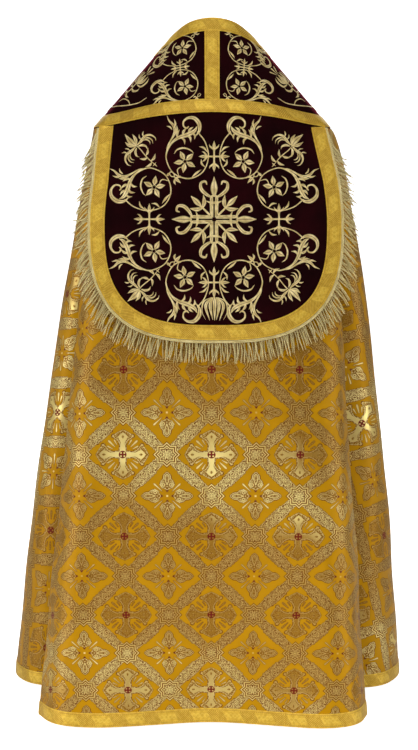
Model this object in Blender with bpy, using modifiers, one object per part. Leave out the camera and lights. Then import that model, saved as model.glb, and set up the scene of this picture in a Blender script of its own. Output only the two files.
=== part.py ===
"""A liturgical cope in its worn form, with no wearer: brocade cape, velvet orphreys, hood and fringe.

Metres, +Z up.  The origin is in the middle of the neck opening, level with the back of the neck.
+Y is the wearer's back, +X the wearer's left side.
"""
import bmesh
import bpy
import numpy as np
from mathutils import Matrix

# ---- driving dimensions ------------------------------------------------------------------------

HEM_Z = -1.410            # height of the hem below the back of the neck
BROCADE_WALL = 0.0020     # lined brocade
VELVET_WALL = 0.0025      # velvet on its interlining
GALLOON_WALL = 0.0012     # woven metal braid
GALLOON_WIDTH = 0.030
ORPHREY_WIDTH = 0.215     # velvet band, from the neck or front edge to its seam
SEAM_GAP = 0.0003         # between any two pieces

HOOD_HALF_WIDTH = 0.2570  # at the widest place
HOOD_WIDE_Z = -0.4125     # height of that place
HOOD_BOTTOM_Z = -0.6530   # lowest point of the galloon's edge
HOOD_ROUND = 2.85         # exponent of the rounded lower half
HOOD_TAPER = 0.025        # how much narrower each side is at the top corners
HOOD_SHIFT = -0.0078      # the hood hangs a little towards the right shoulder
HOOD_TOP_DEPTH = 0.1550   # how far back its top middle lies
HOOD_SLOPE = 0.181        # how fast it runs out behind the wearer as it falls
HOOD_CLEAR = 0.010        # extra room it keeps from the back panel below its first third
HOOD_BEND = 0.0545        # how far its top corners lie forward of its top middle
HOOD_LAST_BEND = 0.006    # what is left of that bend at the bottom
HOOD_BEND_POWER = 2.2
HEADER_WIDTH = 0.006      # pale braid that carries the fringe
FRINGE_LENGTH = 0.040
FRINGE_WALL = 0.0040
FRINGE_DRAW_IN = 0.010    # at the hood's top corners the strands hang in and down by these
FRINGE_DROOP = 0.018

HOOD_CORNER_Z = -0.2325   # height of the top corners
HOOD_TURN = 0.56          # share of half the outline that its rounded lower part takes
HOOD_ARCH = 0.0370        # rise of the top edge from its corners to its middle
HOOD_END_POWER = 6.0      # how late the outline's ends turn to meet the top edge
HOOD_SIDE_STEPS = 5       # stations of the outline down each straight side
HOOD_ROUND_STEPS = 10     # and round each lower corner

PLATE_SIZE = (0.034, 0.0016, 0.046)   # clasp plate: across, thick, high
PLATE_ROUND = 0.006
PLATE_STATION = 8.2
PLATE_SHARE = 0.105       # how far in from the front edge its middle lies, as a share of the band
PLATE_LIFT = 0.0020       # over the braid
LINK_SIZE = (0.052, 0.0020, 0.012)
LINK_ROUND = 0.005
LINK_STANDOFF = 0.0082    # how far the link stands in front of the plates' middles

SHOULDER_STATION = 5.6    # where the body's upper edge turns down the front
LINE_STATION = 3.35       # where the hood-line galloon ends, just past the hood's corner
STRIP_GAP = 0.003         # share of the band's width left free at each end of the centre galloon

# The velvet band, from the centre of the back over the shoulder to the front hem.
# A row for each station: its outer edge (neck, then front edge) and its seam with the brocade.
ORPHREY = (
    # edge x, edge y, edge z,  seam x, seam y, seam z
    (0.000, 0.078, 0.000, 0.000, 0.150, -0.195),     # 0 centre of the back
    (0.042, 0.070, -0.008, 0.110, 0.139, -0.203),    # 1 back of the neck
    (0.076, 0.045, -0.031, 0.200, 0.108, -0.220),    # 2 shoulder blade
    (0.094, 0.020, -0.050, 0.2390, 0.083, -0.226),   # 3 corner of the hood
    (0.101, -0.012, -0.060, 0.2490, 0.005, -0.229),  # 4 top of the shoulder
    (0.088, -0.062, -0.098, 0.2440, -0.050, -0.242), # 5 front of the shoulder
    (0.062, -0.110, -0.155, 0.2340, -0.086, -0.269), # 6 collarbone
    (0.034, -0.143, -0.215, 0.2290, -0.106, -0.305), # 7 chest
    (0.017, -0.163, -0.285, 0.2230, -0.121, -0.348), # 8 clasp
    (0.012, -0.178, -0.400, 0.2200, -0.138, -0.440), # 9 breast
    (0.014, -0.204, -0.750, 0.2240, -0.174, -0.765), # 10 waist
    (0.026, -0.268, -1.402, 0.2360, -0.262, -1.404), # 11 hem
)
EDGE = np.array([row[:3] for row in ORPHREY])
SEAM = np.array([row[3:] for row in ORPHREY])
LAST_STATION = len(ORPHREY) - 1.0

# The fold lines of the brocade on each side, from the centre of the back towards the front.
# A row for each line: where it leaves the velvet's seam (in stations), where it meets the hem,
# how far it swells sideways, how round the cloth turns there (0.5 is softest), and for a
# valley the share of the drop over which it opens.
LEFT_FOLDS = (
    # top, hem x, hem y, swell, round, opens over
    (0.90, 0.122, 0.396, 0.000, 0.50, 0.00),    # middle of the back panel
    (1.80, 0.236, 0.418, 0.000, 0.50, 0.00),    # lobe
    (2.50, 0.318, 0.394, 0.002, 0.45, 0.00),    # turn
    (3.00, 0.358, 0.306, 0.000, 0.20, 0.00),    # back ridge
    (3.40, 0.112, 0.088, 0.000, 0.26, 0.22),    # back valley
    (3.65, 0.368, 0.132, 0.012, 0.45, 0.00),    # side panel, behind
    (4.00, 0.438, 0.010, 0.018, 0.50, 0.00),    # side
    (4.35, 0.410, -0.165, 0.014, 0.35, 0.00),   # front ridge
    (4.60, 0.160, -0.070, 0.000, 0.30, 0.25),   # front valley
    (4.95, 0.352, -0.268, 0.010, 0.35, 0.00),   # second front ridge
    (5.30, 0.130, -0.135, 0.000, 0.30, 0.30),   # second front valley
)
RIGHT_FOLDS = (
    # top, hem x, hem y, swell, round, opens over
    (0.90, 0.128, 0.400, 0.000, 0.50, 0.00),    # middle of the back panel
    (1.80, 0.222, 0.424, 0.000, 0.50, 0.00),    # lobe
    (2.50, 0.290, 0.398, 0.004, 0.45, 0.00),    # turn
    (3.00, 0.317, 0.306, 0.002, 0.20, 0.00),    # back ridge
    (3.40, 0.108, 0.085, 0.000, 0.26, 0.22),    # back valley
    (3.65, 0.346, 0.150, 0.026, 0.45, 0.00),    # side panel, behind
    (4.00, 0.418, 0.015, 0.034, 0.50, 0.00),    # side
    (4.35, 0.396, -0.170, 0.022, 0.35, 0.00),   # front ridge
    (4.62, 0.165, -0.075, 0.000, 0.30, 0.25),   # front valley
    (4.95, 0.340, -0.262, 0.012, 0.35, 0.00),   # second front ridge
    (5.30, 0.135, -0.140, 0.000, 0.30, 0.30),   # second front valley
)
CENTRE_FOLD = (0.0, 0.004, 0.368, 0.0, 0.50, 0.0)
LEFT_SWELL_POWER = 1.0    # the left side swells evenly down its length
RIGHT_SWELL_POWER = 0.5   # the right side swells at once below the shoulder
JOIN_LINE = 4.5           # halfway into the back fold, where back and side are joined
SEAM_LINE = len(LEFT_FOLDS) + 1
EASE_LEVEL = 0.10         # share of the drop over which the top edge eases onto its seam

LEVELS = (0.0, 0.05, 0.11, 0.19, 0.30, 0.45, 0.62, 0.80, 1.0)
HEM_GALLOON_LEVEL = 0.977
TOP_EDGE_LEVEL = 0.0010   # the brocade's cut edge is just under the velvet's, below the galloon


# ---- curves and surfaces -----------------------------------------------------------------------

def through(points, t):
    """Smooth curve through the rows of points (Catmull-Rom), read at the stations t."""
    last = len(points) - 1
    padded = np.vstack([2 * points[0] - points[1], points, 2 * points[-1] - points[-2]])
    i = np.clip(np.floor(t).astype(int), 0, last - 1)
    f = (t - i)[..., None]
    p0, p1, p2, p3 = (padded[i + k] for k in range(4))
    return 0.5 * (2 * p1 + (p2 - p0) * f + (2 * p0 - 5 * p1 + 4 * p2 - p3) * f ** 2
                  + (3 * p1 - p0 - 3 * p2 + p3) * f ** 3)


def mirrored(points, t):
    """The same curve on both sides: stations below zero are the right side, at -X."""
    mirror = np.array([[-1.0, 1.0, 1.0]])
    both = np.vstack([(points * mirror)[:0:-1], points])
    return through(both, t + len(points) - 1)


def orphrey(t, w):
    """The velvet band: straight across from its edge (w = 0) to its seam (w = 1) at station t."""
    return mirrored(EDGE, t) * (1 - w[..., None]) + mirrored(SEAM, t) * w[..., None]


def fold_lines(rows, sign):
    """Top point, hem point, swell, roundness and opening of each fold line of one side."""
    table = np.array(rows)
    top = mirrored(SEAM, sign * table[:, 0])
    hem = np.stack([sign * table[:, 1], table[:, 2], np.full(len(table), HEM_Z)], axis=1)
    return top, hem, sign * table[:, 3], table[:, 4], table[:, 5]


def all_lines():
    """The fold lines of both sides in one row, right front to left front, with the centre."""
    right = fold_lines(RIGHT_FOLDS, -1.0)
    centre = fold_lines((CENTRE_FOLD,), 1.0)
    left = fold_lines(LEFT_FOLDS, 1.0)
    return [np.concatenate([r[::-1], c, l]) for r, c, l in zip(right, centre, left)]


TOPS, HEMS, SWELLS, ROUNDS, OPENS = all_lines()
TOP_STATIONS = np.array([-SHOULDER_STATION] + [-row[0] for row in RIGHT_FOLDS[::-1]] + [0.0]
                        + [row[0] for row in LEFT_FOLDS] + [SHOULDER_STATION])


def front_seam(s, sign):
    """The brocade's front edge at the share s of its drop: the velvet's seam at that height."""
    stations = np.linspace(SHOULDER_STATION, LAST_STATION, 60)
    heights = through(SEAM, stations)[:, 2]
    wanted = heights[0] + (heights[-1] - heights[0]) * s
    return mirrored(SEAM, sign * np.interp(-wanted, -heights, stations))


def line_point(k, s):
    """A point of fold line k (0 is the centre of the back) at the share s of the drop.

    A line runs straight from the seam to the hem and swells sideways by s^power (1 - s).  A valley
    starts between its neighbours and opens over the first share of the drop.
    """
    i = np.clip(k + len(LEFT_FOLDS), 0, len(TOPS) - 1)
    before, after = np.clip(i - 1, 0, None), np.clip(i + 1, None, len(TOPS) - 1)
    flat_hem = 0.5 * (HEMS[before] + HEMS[after])
    opens = OPENS[i]
    share = np.where(opens > 0, np.clip(s / np.maximum(opens, 1e-6), 0, 1), 1.0)
    share = share * share * (3 - 2 * share)
    hem = flat_hem + (HEMS[i] - flat_hem) * share[..., None]
    hem = np.where(opens[..., None] > 0, hem, HEMS[i])
    point = TOPS[i] + (hem - TOPS[i]) * s[..., None]
    power = np.where(k > 0, LEFT_SWELL_POWER, RIGHT_SWELL_POWER)
    peak = power ** power / (power + 1) ** (power + 1)
    point[..., 0] += SWELLS[i] * s ** power * (1 - s) / peak
    point = np.where((k >= SEAM_LINE)[..., None], front_seam(s, 1.0), point)
    return np.where((k <= -SEAM_LINE)[..., None], front_seam(s, -1.0), point)


def folded(u, s):
    """The brocade's folds: straight between fold lines, turned round each one by a quadratic arc.

    The arc's reach to either side is the line's roundness.
    """
    near = np.clip(np.round(u), 1 - SEAM_LINE, SEAM_LINE - 1).astype(int)
    reach = ROUNDS[near + len(LEFT_FOLDS)]
    here, before, after = line_point(near, s), line_point(near - 1, s), line_point(near + 1, s)
    offset = u - near
    straight = here + (np.where((offset < 0)[..., None], before, after) - here) \
        * np.abs(offset)[..., None]
    start = here + (before - here) * reach[..., None]
    end = here + (after - here) * reach[..., None]
    f = np.clip((offset + reach) / (2 * reach), 0, 1)[..., None]
    arc = (1 - f) ** 2 * start + 2 * f * (1 - f) * here + f ** 2 * end
    return np.where((np.abs(offset) < reach)[..., None], arc, straight)


def cape(u, s):
    """The brocade at u lines from the centre and the share s of the drop.

    Its top edge lies exactly on the velvet's seam and eases into the folds below it.
    """
    lines = np.arange(-SEAM_LINE, SEAM_LINE + 1.0)
    seam = mirrored(SEAM, np.interp(u, lines, TOP_STATIONS))
    ease = np.clip(1 - s / EASE_LEVEL, 0, 1)[..., None] ** 2
    return folded(u, s) + (seam - folded(u, np.zeros_like(s))) * ease


def outward(surface, a, b, step=1e-3):
    """Unit normal of a surface at (a, b), from the differences of its points."""
    along = surface(a + step, b) - surface(a - step, b)
    down = surface(a, b + step) - surface(a, b - step)
    normal = np.cross(along, down)
    return normal / np.linalg.norm(normal, axis=-1, keepdims=True)


def lifted(grid, height):
    """A grid of points moved out along the mean normals of the faces that meet at each point."""
    face = np.cross(grid[:-1, 1:] - grid[1:, :-1], grid[1:, 1:] - grid[:-1, :-1])
    face /= np.linalg.norm(face, axis=-1, keepdims=True)
    rows, columns = grid.shape[:2]
    normal = np.zeros_like(grid)
    for i, j in ((0, 0), (0, 1), (1, 0), (1, 1)):
        normal[i:rows - 1 + i, j:columns - 1 + j] += face
    return grid + normal / np.linalg.norm(normal, axis=-1, keepdims=True) * height


# ---- the hood ----------------------------------------------------------------------------------

def hood_depth(x, z):
    """How far back the hood's inner face lies.

    It follows the yoke's bend at the top seam, flattens towards the bottom and slopes with the
    back panel under it.
    """
    top_z = SEAM[0, 2] - HOOD_ARCH * (x / SEAM[3, 0]) ** 2
    fall = top_z - z
    drop = fall / (top_z - HOOD_BOTTOM_Z)
    bend = HOOD_BEND * np.clip(1 - drop, 0, 1) + HOOD_LAST_BEND
    stand = HOOD_CLEAR * np.clip(3 * drop, 0, 1) + HOOD_SLOPE * np.maximum(fall, 0)
    return HOOD_TOP_DEPTH + stand - bend * np.abs(x / SEAM[3, 0]) ** HOOD_BEND_POWER


def hood_edge(a):
    """The hood's outline (x, z): a runs from -1, the left top corner, by 0, the bottom, to 1.

    The lower part is a superellipse and the sides draw in towards the top corners.
    """
    side = -np.sign(a)
    turn = np.clip(np.abs(a) / HOOD_TURN, 0, 1) * np.pi / 2
    up = np.clip((np.abs(a) - HOOD_TURN) / (1 - HOOD_TURN), 0, 1)
    low = (HOOD_BOTTOM_Z - HOOD_WIDE_Z) * np.cos(turn) ** (2 / HOOD_ROUND)
    z = HOOD_WIDE_Z + low + (HOOD_CORNER_Z - HOOD_WIDE_Z) * up
    x = side * (HOOD_HALF_WIDTH * np.sin(turn) ** (2 / HOOD_ROUND) - HOOD_TAPER * up ** 1.5)
    return x + HOOD_SHIFT * np.clip((HOOD_CORNER_Z - z) / 0.1, 0, 1), z


def hood_top(x):
    """Height of the hood's top edge, which lies along the velvet's seam just below the galloon."""
    return np.interp(np.abs(x), SEAM[:5, 0], SEAM[:5, 2]) - 2 * SEAM_GAP


def hood_ring(a, inset):
    """The outline moved in (or out, below zero) by a distance, as points of the hood.

    Its two ends are drawn up or down to the hood's top edge.
    """
    step = 1e-3
    x0, z0 = hood_edge(np.clip(a - step, -1, 1))
    x1, z1 = hood_edge(np.clip(a + step, -1, 1))
    x, z = hood_edge(a)
    length = np.hypot(x1 - x0, z1 - z0)
    x = x + inset * (z1 - z0) / length
    z = z - inset * (x1 - x0) / length
    up = np.clip((np.abs(a) - HOOD_TURN) / (1 - HOOD_TURN), 0, 1)
    z = z + (hood_top(x) - HOOD_CORNER_Z) * up ** HOOD_END_POWER
    return np.stack([x, hood_depth(x, z), z], axis=-1)


def hood_normal(points):
    """Unit normal of the hood's face, pointing back."""
    x, z = points[..., 0], points[..., 2]
    step = 1e-3
    slope_x = (hood_depth(x + step, z) - hood_depth(x - step, z)) / (2 * step)
    slope_z = (hood_depth(x, z + step) - hood_depth(x, z - step)) / (2 * step)
    normal = np.stack([-slope_x, np.ones_like(x), -slope_z], axis=-1)
    return normal / np.linalg.norm(normal, axis=-1, keepdims=True)


# ---- meshes ------------------------------------------------------------------------------------

def material(name, colour, roughness, metallic):
    made = bpy.data.materials.new(name)
    made.use_nodes = True
    shader = made.node_tree.nodes["Principled BSDF"]
    shader.inputs["Base Color"].default_value = (*colour, 1.0)
    shader.inputs["Roughness"].default_value = roughness
    shader.inputs["Metallic"].default_value = metallic
    return made


def sheet_object(name, grid, wall, finish, collection):
    """A wall on a grid of points, thickened outwards: rows run down, columns from right to left."""
    rows, columns = grid.shape[:2]
    corner = (np.arange(rows - 1)[:, None] * columns + np.arange(columns - 1)).ravel()
    faces = np.stack([corner, corner + 1, corner + columns + 1, corner + columns], axis=1)
    mesh = bpy.data.meshes.new(name)
    mesh.from_pydata(grid.reshape(-1, 3).tolist(), [], faces.tolist())
    work = bmesh.new()
    work.from_mesh(mesh)
    bmesh.ops.remove_doubles(work, verts=work.verts, dist=1e-5)
    bmesh.ops.triangulate(work, faces=work.faces)
    work.to_mesh(mesh)
    work.free()
    mesh.shade_smooth()
    mesh.materials.append(finish)
    made = bpy.data.objects.new(name, mesh)
    collection.objects.link(made)
    thick = made.modifiers.new("wall", "SOLIDIFY")
    thick.thickness = wall
    thick.offset = 1.0
    return made


def cape_columns(first, last):
    """Where the brocade's columns stand between two lines: four at each turn, one in long flats."""
    stations = [first, last]
    for line in range(int(np.floor(first)), int(np.ceil(last)) + 1):
        if abs(line) < SEAM_LINE:
            reach = ROUNDS[line + len(LEFT_FOLDS)]
            stations += [line - reach, line - reach / 3, line + reach / 3, line + reach]
    kept = np.unique(np.round([c for c in stations if first <= c <= last], 4))
    return kept


def inset_ends(grid, first, last):
    """Draw the first and last columns in by half a seam gap each, where asked."""
    grid = grid.copy()
    for column, neighbour, wanted in ((0, 1, first), (-1, -2, last)):
        if wanted:
            step = grid[:, neighbour] - grid[:, column]
            length = np.linalg.norm(step, axis=-1, keepdims=True)
            grid[:, column] += step / length * SEAM_GAP
    return grid


def make_cape(name, first, last, finish, trim, collection):
    """One panel of the brocade, with the galloon sewn along its hem."""
    columns = cape_columns(first, last)
    levels = np.array(sorted(LEVELS + (HEM_GALLOON_LEVEL,)))
    u, s = np.meshgrid(columns, np.maximum(levels, TOP_EDGE_LEVEL))
    grid = inset_ends(cape(u, s), True, True)
    sheet_object("body_" + name, grid, BROCADE_WALL, finish, collection)
    band = levels >= HEM_GALLOON_LEVEL
    on_cloth = lifted(grid, BROCADE_WALL + SEAM_GAP)[band]
    sheet_object("galloon_hem_" + name, on_cloth, GALLOON_WALL, trim, collection)


def orphrey_columns(first, last, step):
    count = int(round((last - first) / step))
    return np.linspace(first, last, count + 1)


def across_band(x, w):
    """The station near the centre of the back whose point lies x metres to the left, at w."""
    first = EDGE[1, 0] * (1 - w) + SEAM[1, 0] * w
    return x / first


def band_grid(columns, w):
    """Stations by shares across, with the columns nearest the centre back parallel to it."""
    t, across = np.meshgrid(columns, w)
    for column, x in ((0, SEAM_GAP / 2), (1, GALLOON_WIDTH / 2 + SEAM_GAP)):
        t[:, column] = across_band(x, across[:, column])
    return t, across


def make_orphreys(velvet, braid, collection):
    """The two velvet bands and the galloons that lie on them."""
    edge_share = GALLOON_WIDTH / ORPHREY_WIDTH
    w = np.array([0.0, edge_share, 0.5, 1 - edge_share, 1 - SEAM_GAP / ORPHREY_WIDTH])
    columns = np.concatenate([[0.0, 0.2, LINE_STATION], orphrey_columns(0.5, LAST_STATION, 0.5)])
    columns = np.unique(columns)
    t, across = band_grid(columns, w)
    panel = orphrey(t, across)
    on_velvet = lifted(panel, VELVET_WALL + SEAM_GAP)
    flip = np.array([-1.0, 1.0, 1.0])
    middle = orphrey(np.zeros((len(w), 1)), across[:, :1])
    middle[..., 1:] += (on_velvet - panel)[:, :1, 1:]
    right_half = (on_velvet[:, 1:] * flip)[:, ::-1]
    whole = np.concatenate([right_half, middle, on_velvet[:, 1:]], axis=1)
    sheet_object("galloon_edge", whole[:2], GALLOON_WALL, braid, collection)

    past_hood = int(np.searchsorted(columns, LINE_STATION))
    centre = len(columns) - 1
    line = whole[3:, centre - past_hood:centre + past_hood + 1]
    sheet_object("galloon_hood_line", line, GALLOON_WALL, braid, collection)
    inner = inset_ends(on_velvet[3:, past_hood:], True, False)
    for name, sign in (("left", 1.0), ("right", -1.0)):
        side = np.array([sign, 1.0, 1.0])
        turn = slice(None, None, int(sign))
        sheet_object("orphrey_" + name, (panel * side)[:, turn], VELVET_WALL, velvet, collection)
        sheet_object("galloon_inner_" + name, (inner * side)[:, turn], GALLOON_WALL, braid, collection)

    strip = whole[:, centre - 1:centre + 2]
    shares = np.array([edge_share + STRIP_GAP, 1 - edge_share - STRIP_GAP])
    ends = [lerp_rows(strip[1:4], (share - edge_share) / (1 - 2 * edge_share)) for share in shares]
    centre_back = np.stack([ends[0], strip[2], ends[1]])
    sheet_object("galloon_centre_back", centre_back, GALLOON_WALL, braid, collection)


def lerp_rows(rows, share):
    """A row between the first and last of three rows, at the share of the way down."""
    if share < 0.5:
        return rows[0] + (rows[1] - rows[0]) * share * 2
    return rows[1] + (rows[2] - rows[1]) * (share * 2 - 1)


def hood_rows():
    """The stations down one side of the outline, from the top corner to the bottom middle."""
    sides = np.linspace(1.0, HOOD_TURN, HOOD_SIDE_STEPS)
    corners = np.linspace(HOOD_TURN, 0.0, HOOD_ROUND_STEPS + 1)[1:]
    return np.concatenate([sides, corners])


def make_hood(velvet, braid, header, fringe, collection):
    """The shield of velvet, its galloon, the header braid under its edge and the fringe."""
    q = hood_rows()
    left_out, left_in = hood_ring(-q, 0.0), hood_ring(-q, GALLOON_WIDTH)
    right_out, right_in = hood_ring(q, 0.0), hood_ring(q, GALLOON_WIDTH)
    across = np.linspace(-1.0, 1.0, 7)
    centre = 0.5 * (left_in[:, None] + right_in[:, None])
    half = 0.5 * (left_in[:, None] - right_in[:, None])
    rungs = centre + half * across[None, :, None]
    rise = np.clip(2 * q[:, None] - 1, 0, 1) ** 1.3
    arch = hood_top(rungs[..., 0]) - hood_top(rungs[:, :1, 0])
    rungs[..., 2] += arch * rise
    rungs[..., 1] = hood_depth(rungs[..., 0], rungs[..., 2])
    panel = np.concatenate([right_out[:, None], rungs, left_out[:, None]], axis=1)
    sheet_object("hood_velvet", panel, VELVET_WALL, velvet, collection)

    a = np.concatenate([q, -q[-2::-1]])
    rings = np.stack([hood_ring(a, GALLOON_WIDTH), hood_ring(a, 0.0)])
    on_velvet = rings + hood_normal(rings) * (VELVET_WALL + SEAM_GAP)
    sheet_object("hood_galloon", on_velvet, GALLOON_WALL, braid, collection)

    rings = np.stack([hood_ring(a, -2 * SEAM_GAP), hood_ring(a, -HEADER_WIDTH)])
    sheet_object("fringe_header", rings, VELVET_WALL, header, collection)

    start = hood_ring(a, -HEADER_WIDTH - 2 * SEAM_GAP)
    end = hood_ring(a, -HEADER_WIDTH - FRINGE_LENGTH)
    end[:, 0] += np.sign(a) * np.abs(a) * FRINGE_DRAW_IN
    end[:, 2] -= np.abs(a) * FRINGE_DROOP
    hang = np.stack([start, 0.5 * (start + end), end])
    sheet_object("hood_fringe", hang, FRINGE_WALL, fringe, collection)


def make_clasp(metal, collection):
    """Two plates on the front edges and the link that hooks them together."""
    station, share = np.array(PLATE_STATION), np.array(PLATE_SHARE)
    spot = orphrey(station, share)
    facing = outward(orphrey, station, share)
    across = orphrey(station, share + 0.01) - spot
    across /= np.linalg.norm(across)
    up = np.cross(across, facing)
    lift = VELVET_WALL + GALLOON_WALL + 2 * SEAM_GAP + PLATE_LIFT
    for name, sign in (("left", 1.0), ("right", -1.0)):
        side = np.array([sign, 1.0, 1.0])
        frame = np.stack([across * side, facing * side, up * side], axis=1)
        plate = plate_object("clasp_plate_" + name, PLATE_SIZE, PLATE_ROUND, metal, collection)
        plate.matrix_world = placed(frame, (spot + facing * lift) * side)
    bridge = (spot + facing * lift) * np.array([0.0, 1.0, 1.0])
    bridge[1] -= LINK_STANDOFF
    link = plate_object("clasp_link", LINK_SIZE, LINK_ROUND, metal, collection)
    link.matrix_world = placed(np.eye(3), bridge)


def placed(turn, spot):
    """The matrix that turns by the columns of turn and moves to spot."""
    rows = [[*turn[i], spot[i]] for i in range(3)]
    return Matrix(rows + [[0.0, 0.0, 0.0, 1.0]])


def plate_object(name, size, radius, finish, collection):
    """A flat plate with rounded corners."""
    bpy.ops.mesh.primitive_cube_add(size=1.0)
    made = bpy.context.active_object
    made.name = name
    made.data.name = name
    made.data.transform(placed(np.diag(size), np.zeros(3)))
    for old in list(made.users_collection):
        old.objects.unlink(made)
    collection.objects.link(made)
    work = bmesh.new()
    work.from_mesh(made.data)
    through_plate = [e for e in work.edges
                     if abs(e.verts[0].co.y - e.verts[1].co.y) > size[1] / 2]
    bmesh.ops.bevel(work, geom=through_plate, offset=radius, segments=3, affect="EDGES")
    work.to_mesh(made.data)
    work.free()
    made.data.materials.append(finish)
    return made


# ---- the cope ----------------------------------------------------------------------------------

for old_object in list(bpy.data.objects):
    bpy.data.objects.remove(old_object, do_unlink=True)

cope = bpy.data.collections.new("cope_vestment")
bpy.context.scene.collection.children.link(cope)

brocade = material("brocade", (0.55, 0.33, 0.03), 0.45, 0.35)
velvet = material("velvet", (0.02, 0.002, 0.008), 0.9, 0.0)
braid = material("galloon", (0.65, 0.42, 0.08), 0.4, 0.6)
header = material("header_braid", (0.60, 0.50, 0.22), 0.5, 0.4)
strands = material("fringe", (0.60, 0.52, 0.24), 0.5, 0.3)
gilt = material("gilt", (0.70, 0.48, 0.14), 0.3, 1.0)

make_cape("back", -JOIN_LINE, JOIN_LINE, brocade, braid, cope)
make_cape("left", JOIN_LINE, SEAM_LINE, brocade, braid, cope)
make_cape("right", -SEAM_LINE, -JOIN_LINE, brocade, braid, cope)
make_orphreys(velvet, braid, cope)
make_hood(velvet, braid, header, strands, cope)
make_clasp(gilt, cope)
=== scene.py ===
import bpy
import numpy as np
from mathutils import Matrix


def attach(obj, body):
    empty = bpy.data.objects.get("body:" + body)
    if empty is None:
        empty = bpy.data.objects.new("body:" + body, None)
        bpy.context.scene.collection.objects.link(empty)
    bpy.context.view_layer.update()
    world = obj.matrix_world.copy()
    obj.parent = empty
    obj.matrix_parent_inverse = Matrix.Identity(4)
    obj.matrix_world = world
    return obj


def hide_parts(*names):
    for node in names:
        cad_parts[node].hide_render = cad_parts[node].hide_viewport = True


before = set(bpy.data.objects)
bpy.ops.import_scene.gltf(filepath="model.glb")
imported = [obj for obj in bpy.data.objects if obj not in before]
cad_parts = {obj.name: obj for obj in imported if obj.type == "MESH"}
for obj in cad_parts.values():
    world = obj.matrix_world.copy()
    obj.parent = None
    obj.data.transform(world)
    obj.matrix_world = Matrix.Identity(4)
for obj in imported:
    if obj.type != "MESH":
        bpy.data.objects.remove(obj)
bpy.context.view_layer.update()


# ---- the studio --------------------------------------------------------------------------------
# The cope stands as it is worn, on a pale floor in front of a pale wall, lit by soft boxes.
# The camera stands behind the wearer, at the height of the shoulders, and looks down a little.

HEM_Z = -1.410            # the hem of the cape, below the back of the neck
FLOOR_Z = HEM_Z - 0.025
CAMERA_AT = (0.0064, 4.14, -0.2459)
CAMERA_DOWN = 7.0         # degrees
LENS = 92.77              # on a 36 mm sensor
ROOM_LIGHT = 0.31         # strength of the even light from all round
WALL_GLOW = 1.3           # how bright the room looks to the camera itself
FLOOR_GLOW = 1.0          # how much the floor glows for the camera, so that it is as pale

camera_data = bpy.data.cameras.new("camera")
camera_data.lens = LENS
camera_data.sensor_width = 36.0
camera_data.clip_end = 60.0
camera = bpy.data.objects.new("camera", camera_data)
camera.location = CAMERA_AT
camera.rotation_euler = (np.radians(90 - CAMERA_DOWN), 0.0, np.pi)
bpy.context.scene.collection.objects.link(camera)
bpy.context.scene.camera = camera
bpy.context.scene.view_settings.view_transform = "Standard"
bpy.context.scene.view_settings.look = "None"


class Value:
    """A number in a material's node tree.  Sums, products and comparisons of it are Math nodes."""

    def __init__(self, tree, socket):
        self.tree, self.socket = tree, socket

    def math(self, operation, *others):
        node = self.tree.nodes.new("ShaderNodeMath")
        node.operation = operation
        for place, value in zip(node.inputs, (self, *others)):
            if isinstance(value, Value):
                self.tree.links.new(value.socket, place)
            else:
                place.default_value = float(value)
        return Value(self.tree, node.outputs[0])

    def __add__(self, other):
        return self.math("ADD", other)

    def __sub__(self, other):
        return self.math("SUBTRACT", other)

    def __mul__(self, other):
        return self.math("MULTIPLY", other)

    def __truediv__(self, other):
        return self.math("DIVIDE", other)

    def __rsub__(self, other):
        return self.math("MULTIPLY_ADD", -1.0, other)

    __radd__, __rmul__ = __add__, __mul__

    def larger(self, other):
        return self.math("MAXIMUM", other)

    def smaller(self, other):
        return self.math("MINIMUM", other)

    def size(self):
        return self.math("ABSOLUTE")

    def hypot(self, other):
        """How far from zero a point lies whose two coordinates these numbers are."""
        return (self * self + other * other).math("SQRT")

    def wave(self, length=1.0):
        """A sine wave, from -1 to 1, that repeats each time the number grows by a length."""
        return (self * (2 * np.pi / length)).math("SINE")

    def step(self, start, end):
        """A soft step from 0 at start to 1 at end."""
        node = self.tree.nodes.new("ShaderNodeMapRange")
        node.interpolation_type = "SMOOTHSTEP"
        self.tree.links.new(self.socket, node.inputs["Value"])
        for name, value in (("From Min", start), ("From Max", end)):
            if isinstance(value, Value):
                self.tree.links.new(value.socket, node.inputs[name])
            else:
                node.inputs[name].default_value = value
        return Value(self.tree, node.outputs["Result"])

    def line(self, at, width):
        """1 on a line where the number is at, fading to 0 half a width away."""
        return 1.0 - ((self - at).size() * (2.0 / width)).smaller(1.0)

    def profile(self, points):
        """A curve through (number, height) points, both from 0 to 1."""
        node = self.tree.nodes.new("ShaderNodeFloatCurve")
        curve = node.mapping.curves[0]
        for place, point in zip(curve.points, (points[0], points[-1])):
            place.location = point
        for point in points[1:-1]:
            curve.points.new(*point)
        for place in curve.points:
            place.handle_type = "VECTOR"
        node.mapping.update()
        self.tree.links.new(self.socket, node.inputs["Value"])
        return Value(self.tree, node.outputs["Value"])


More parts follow.
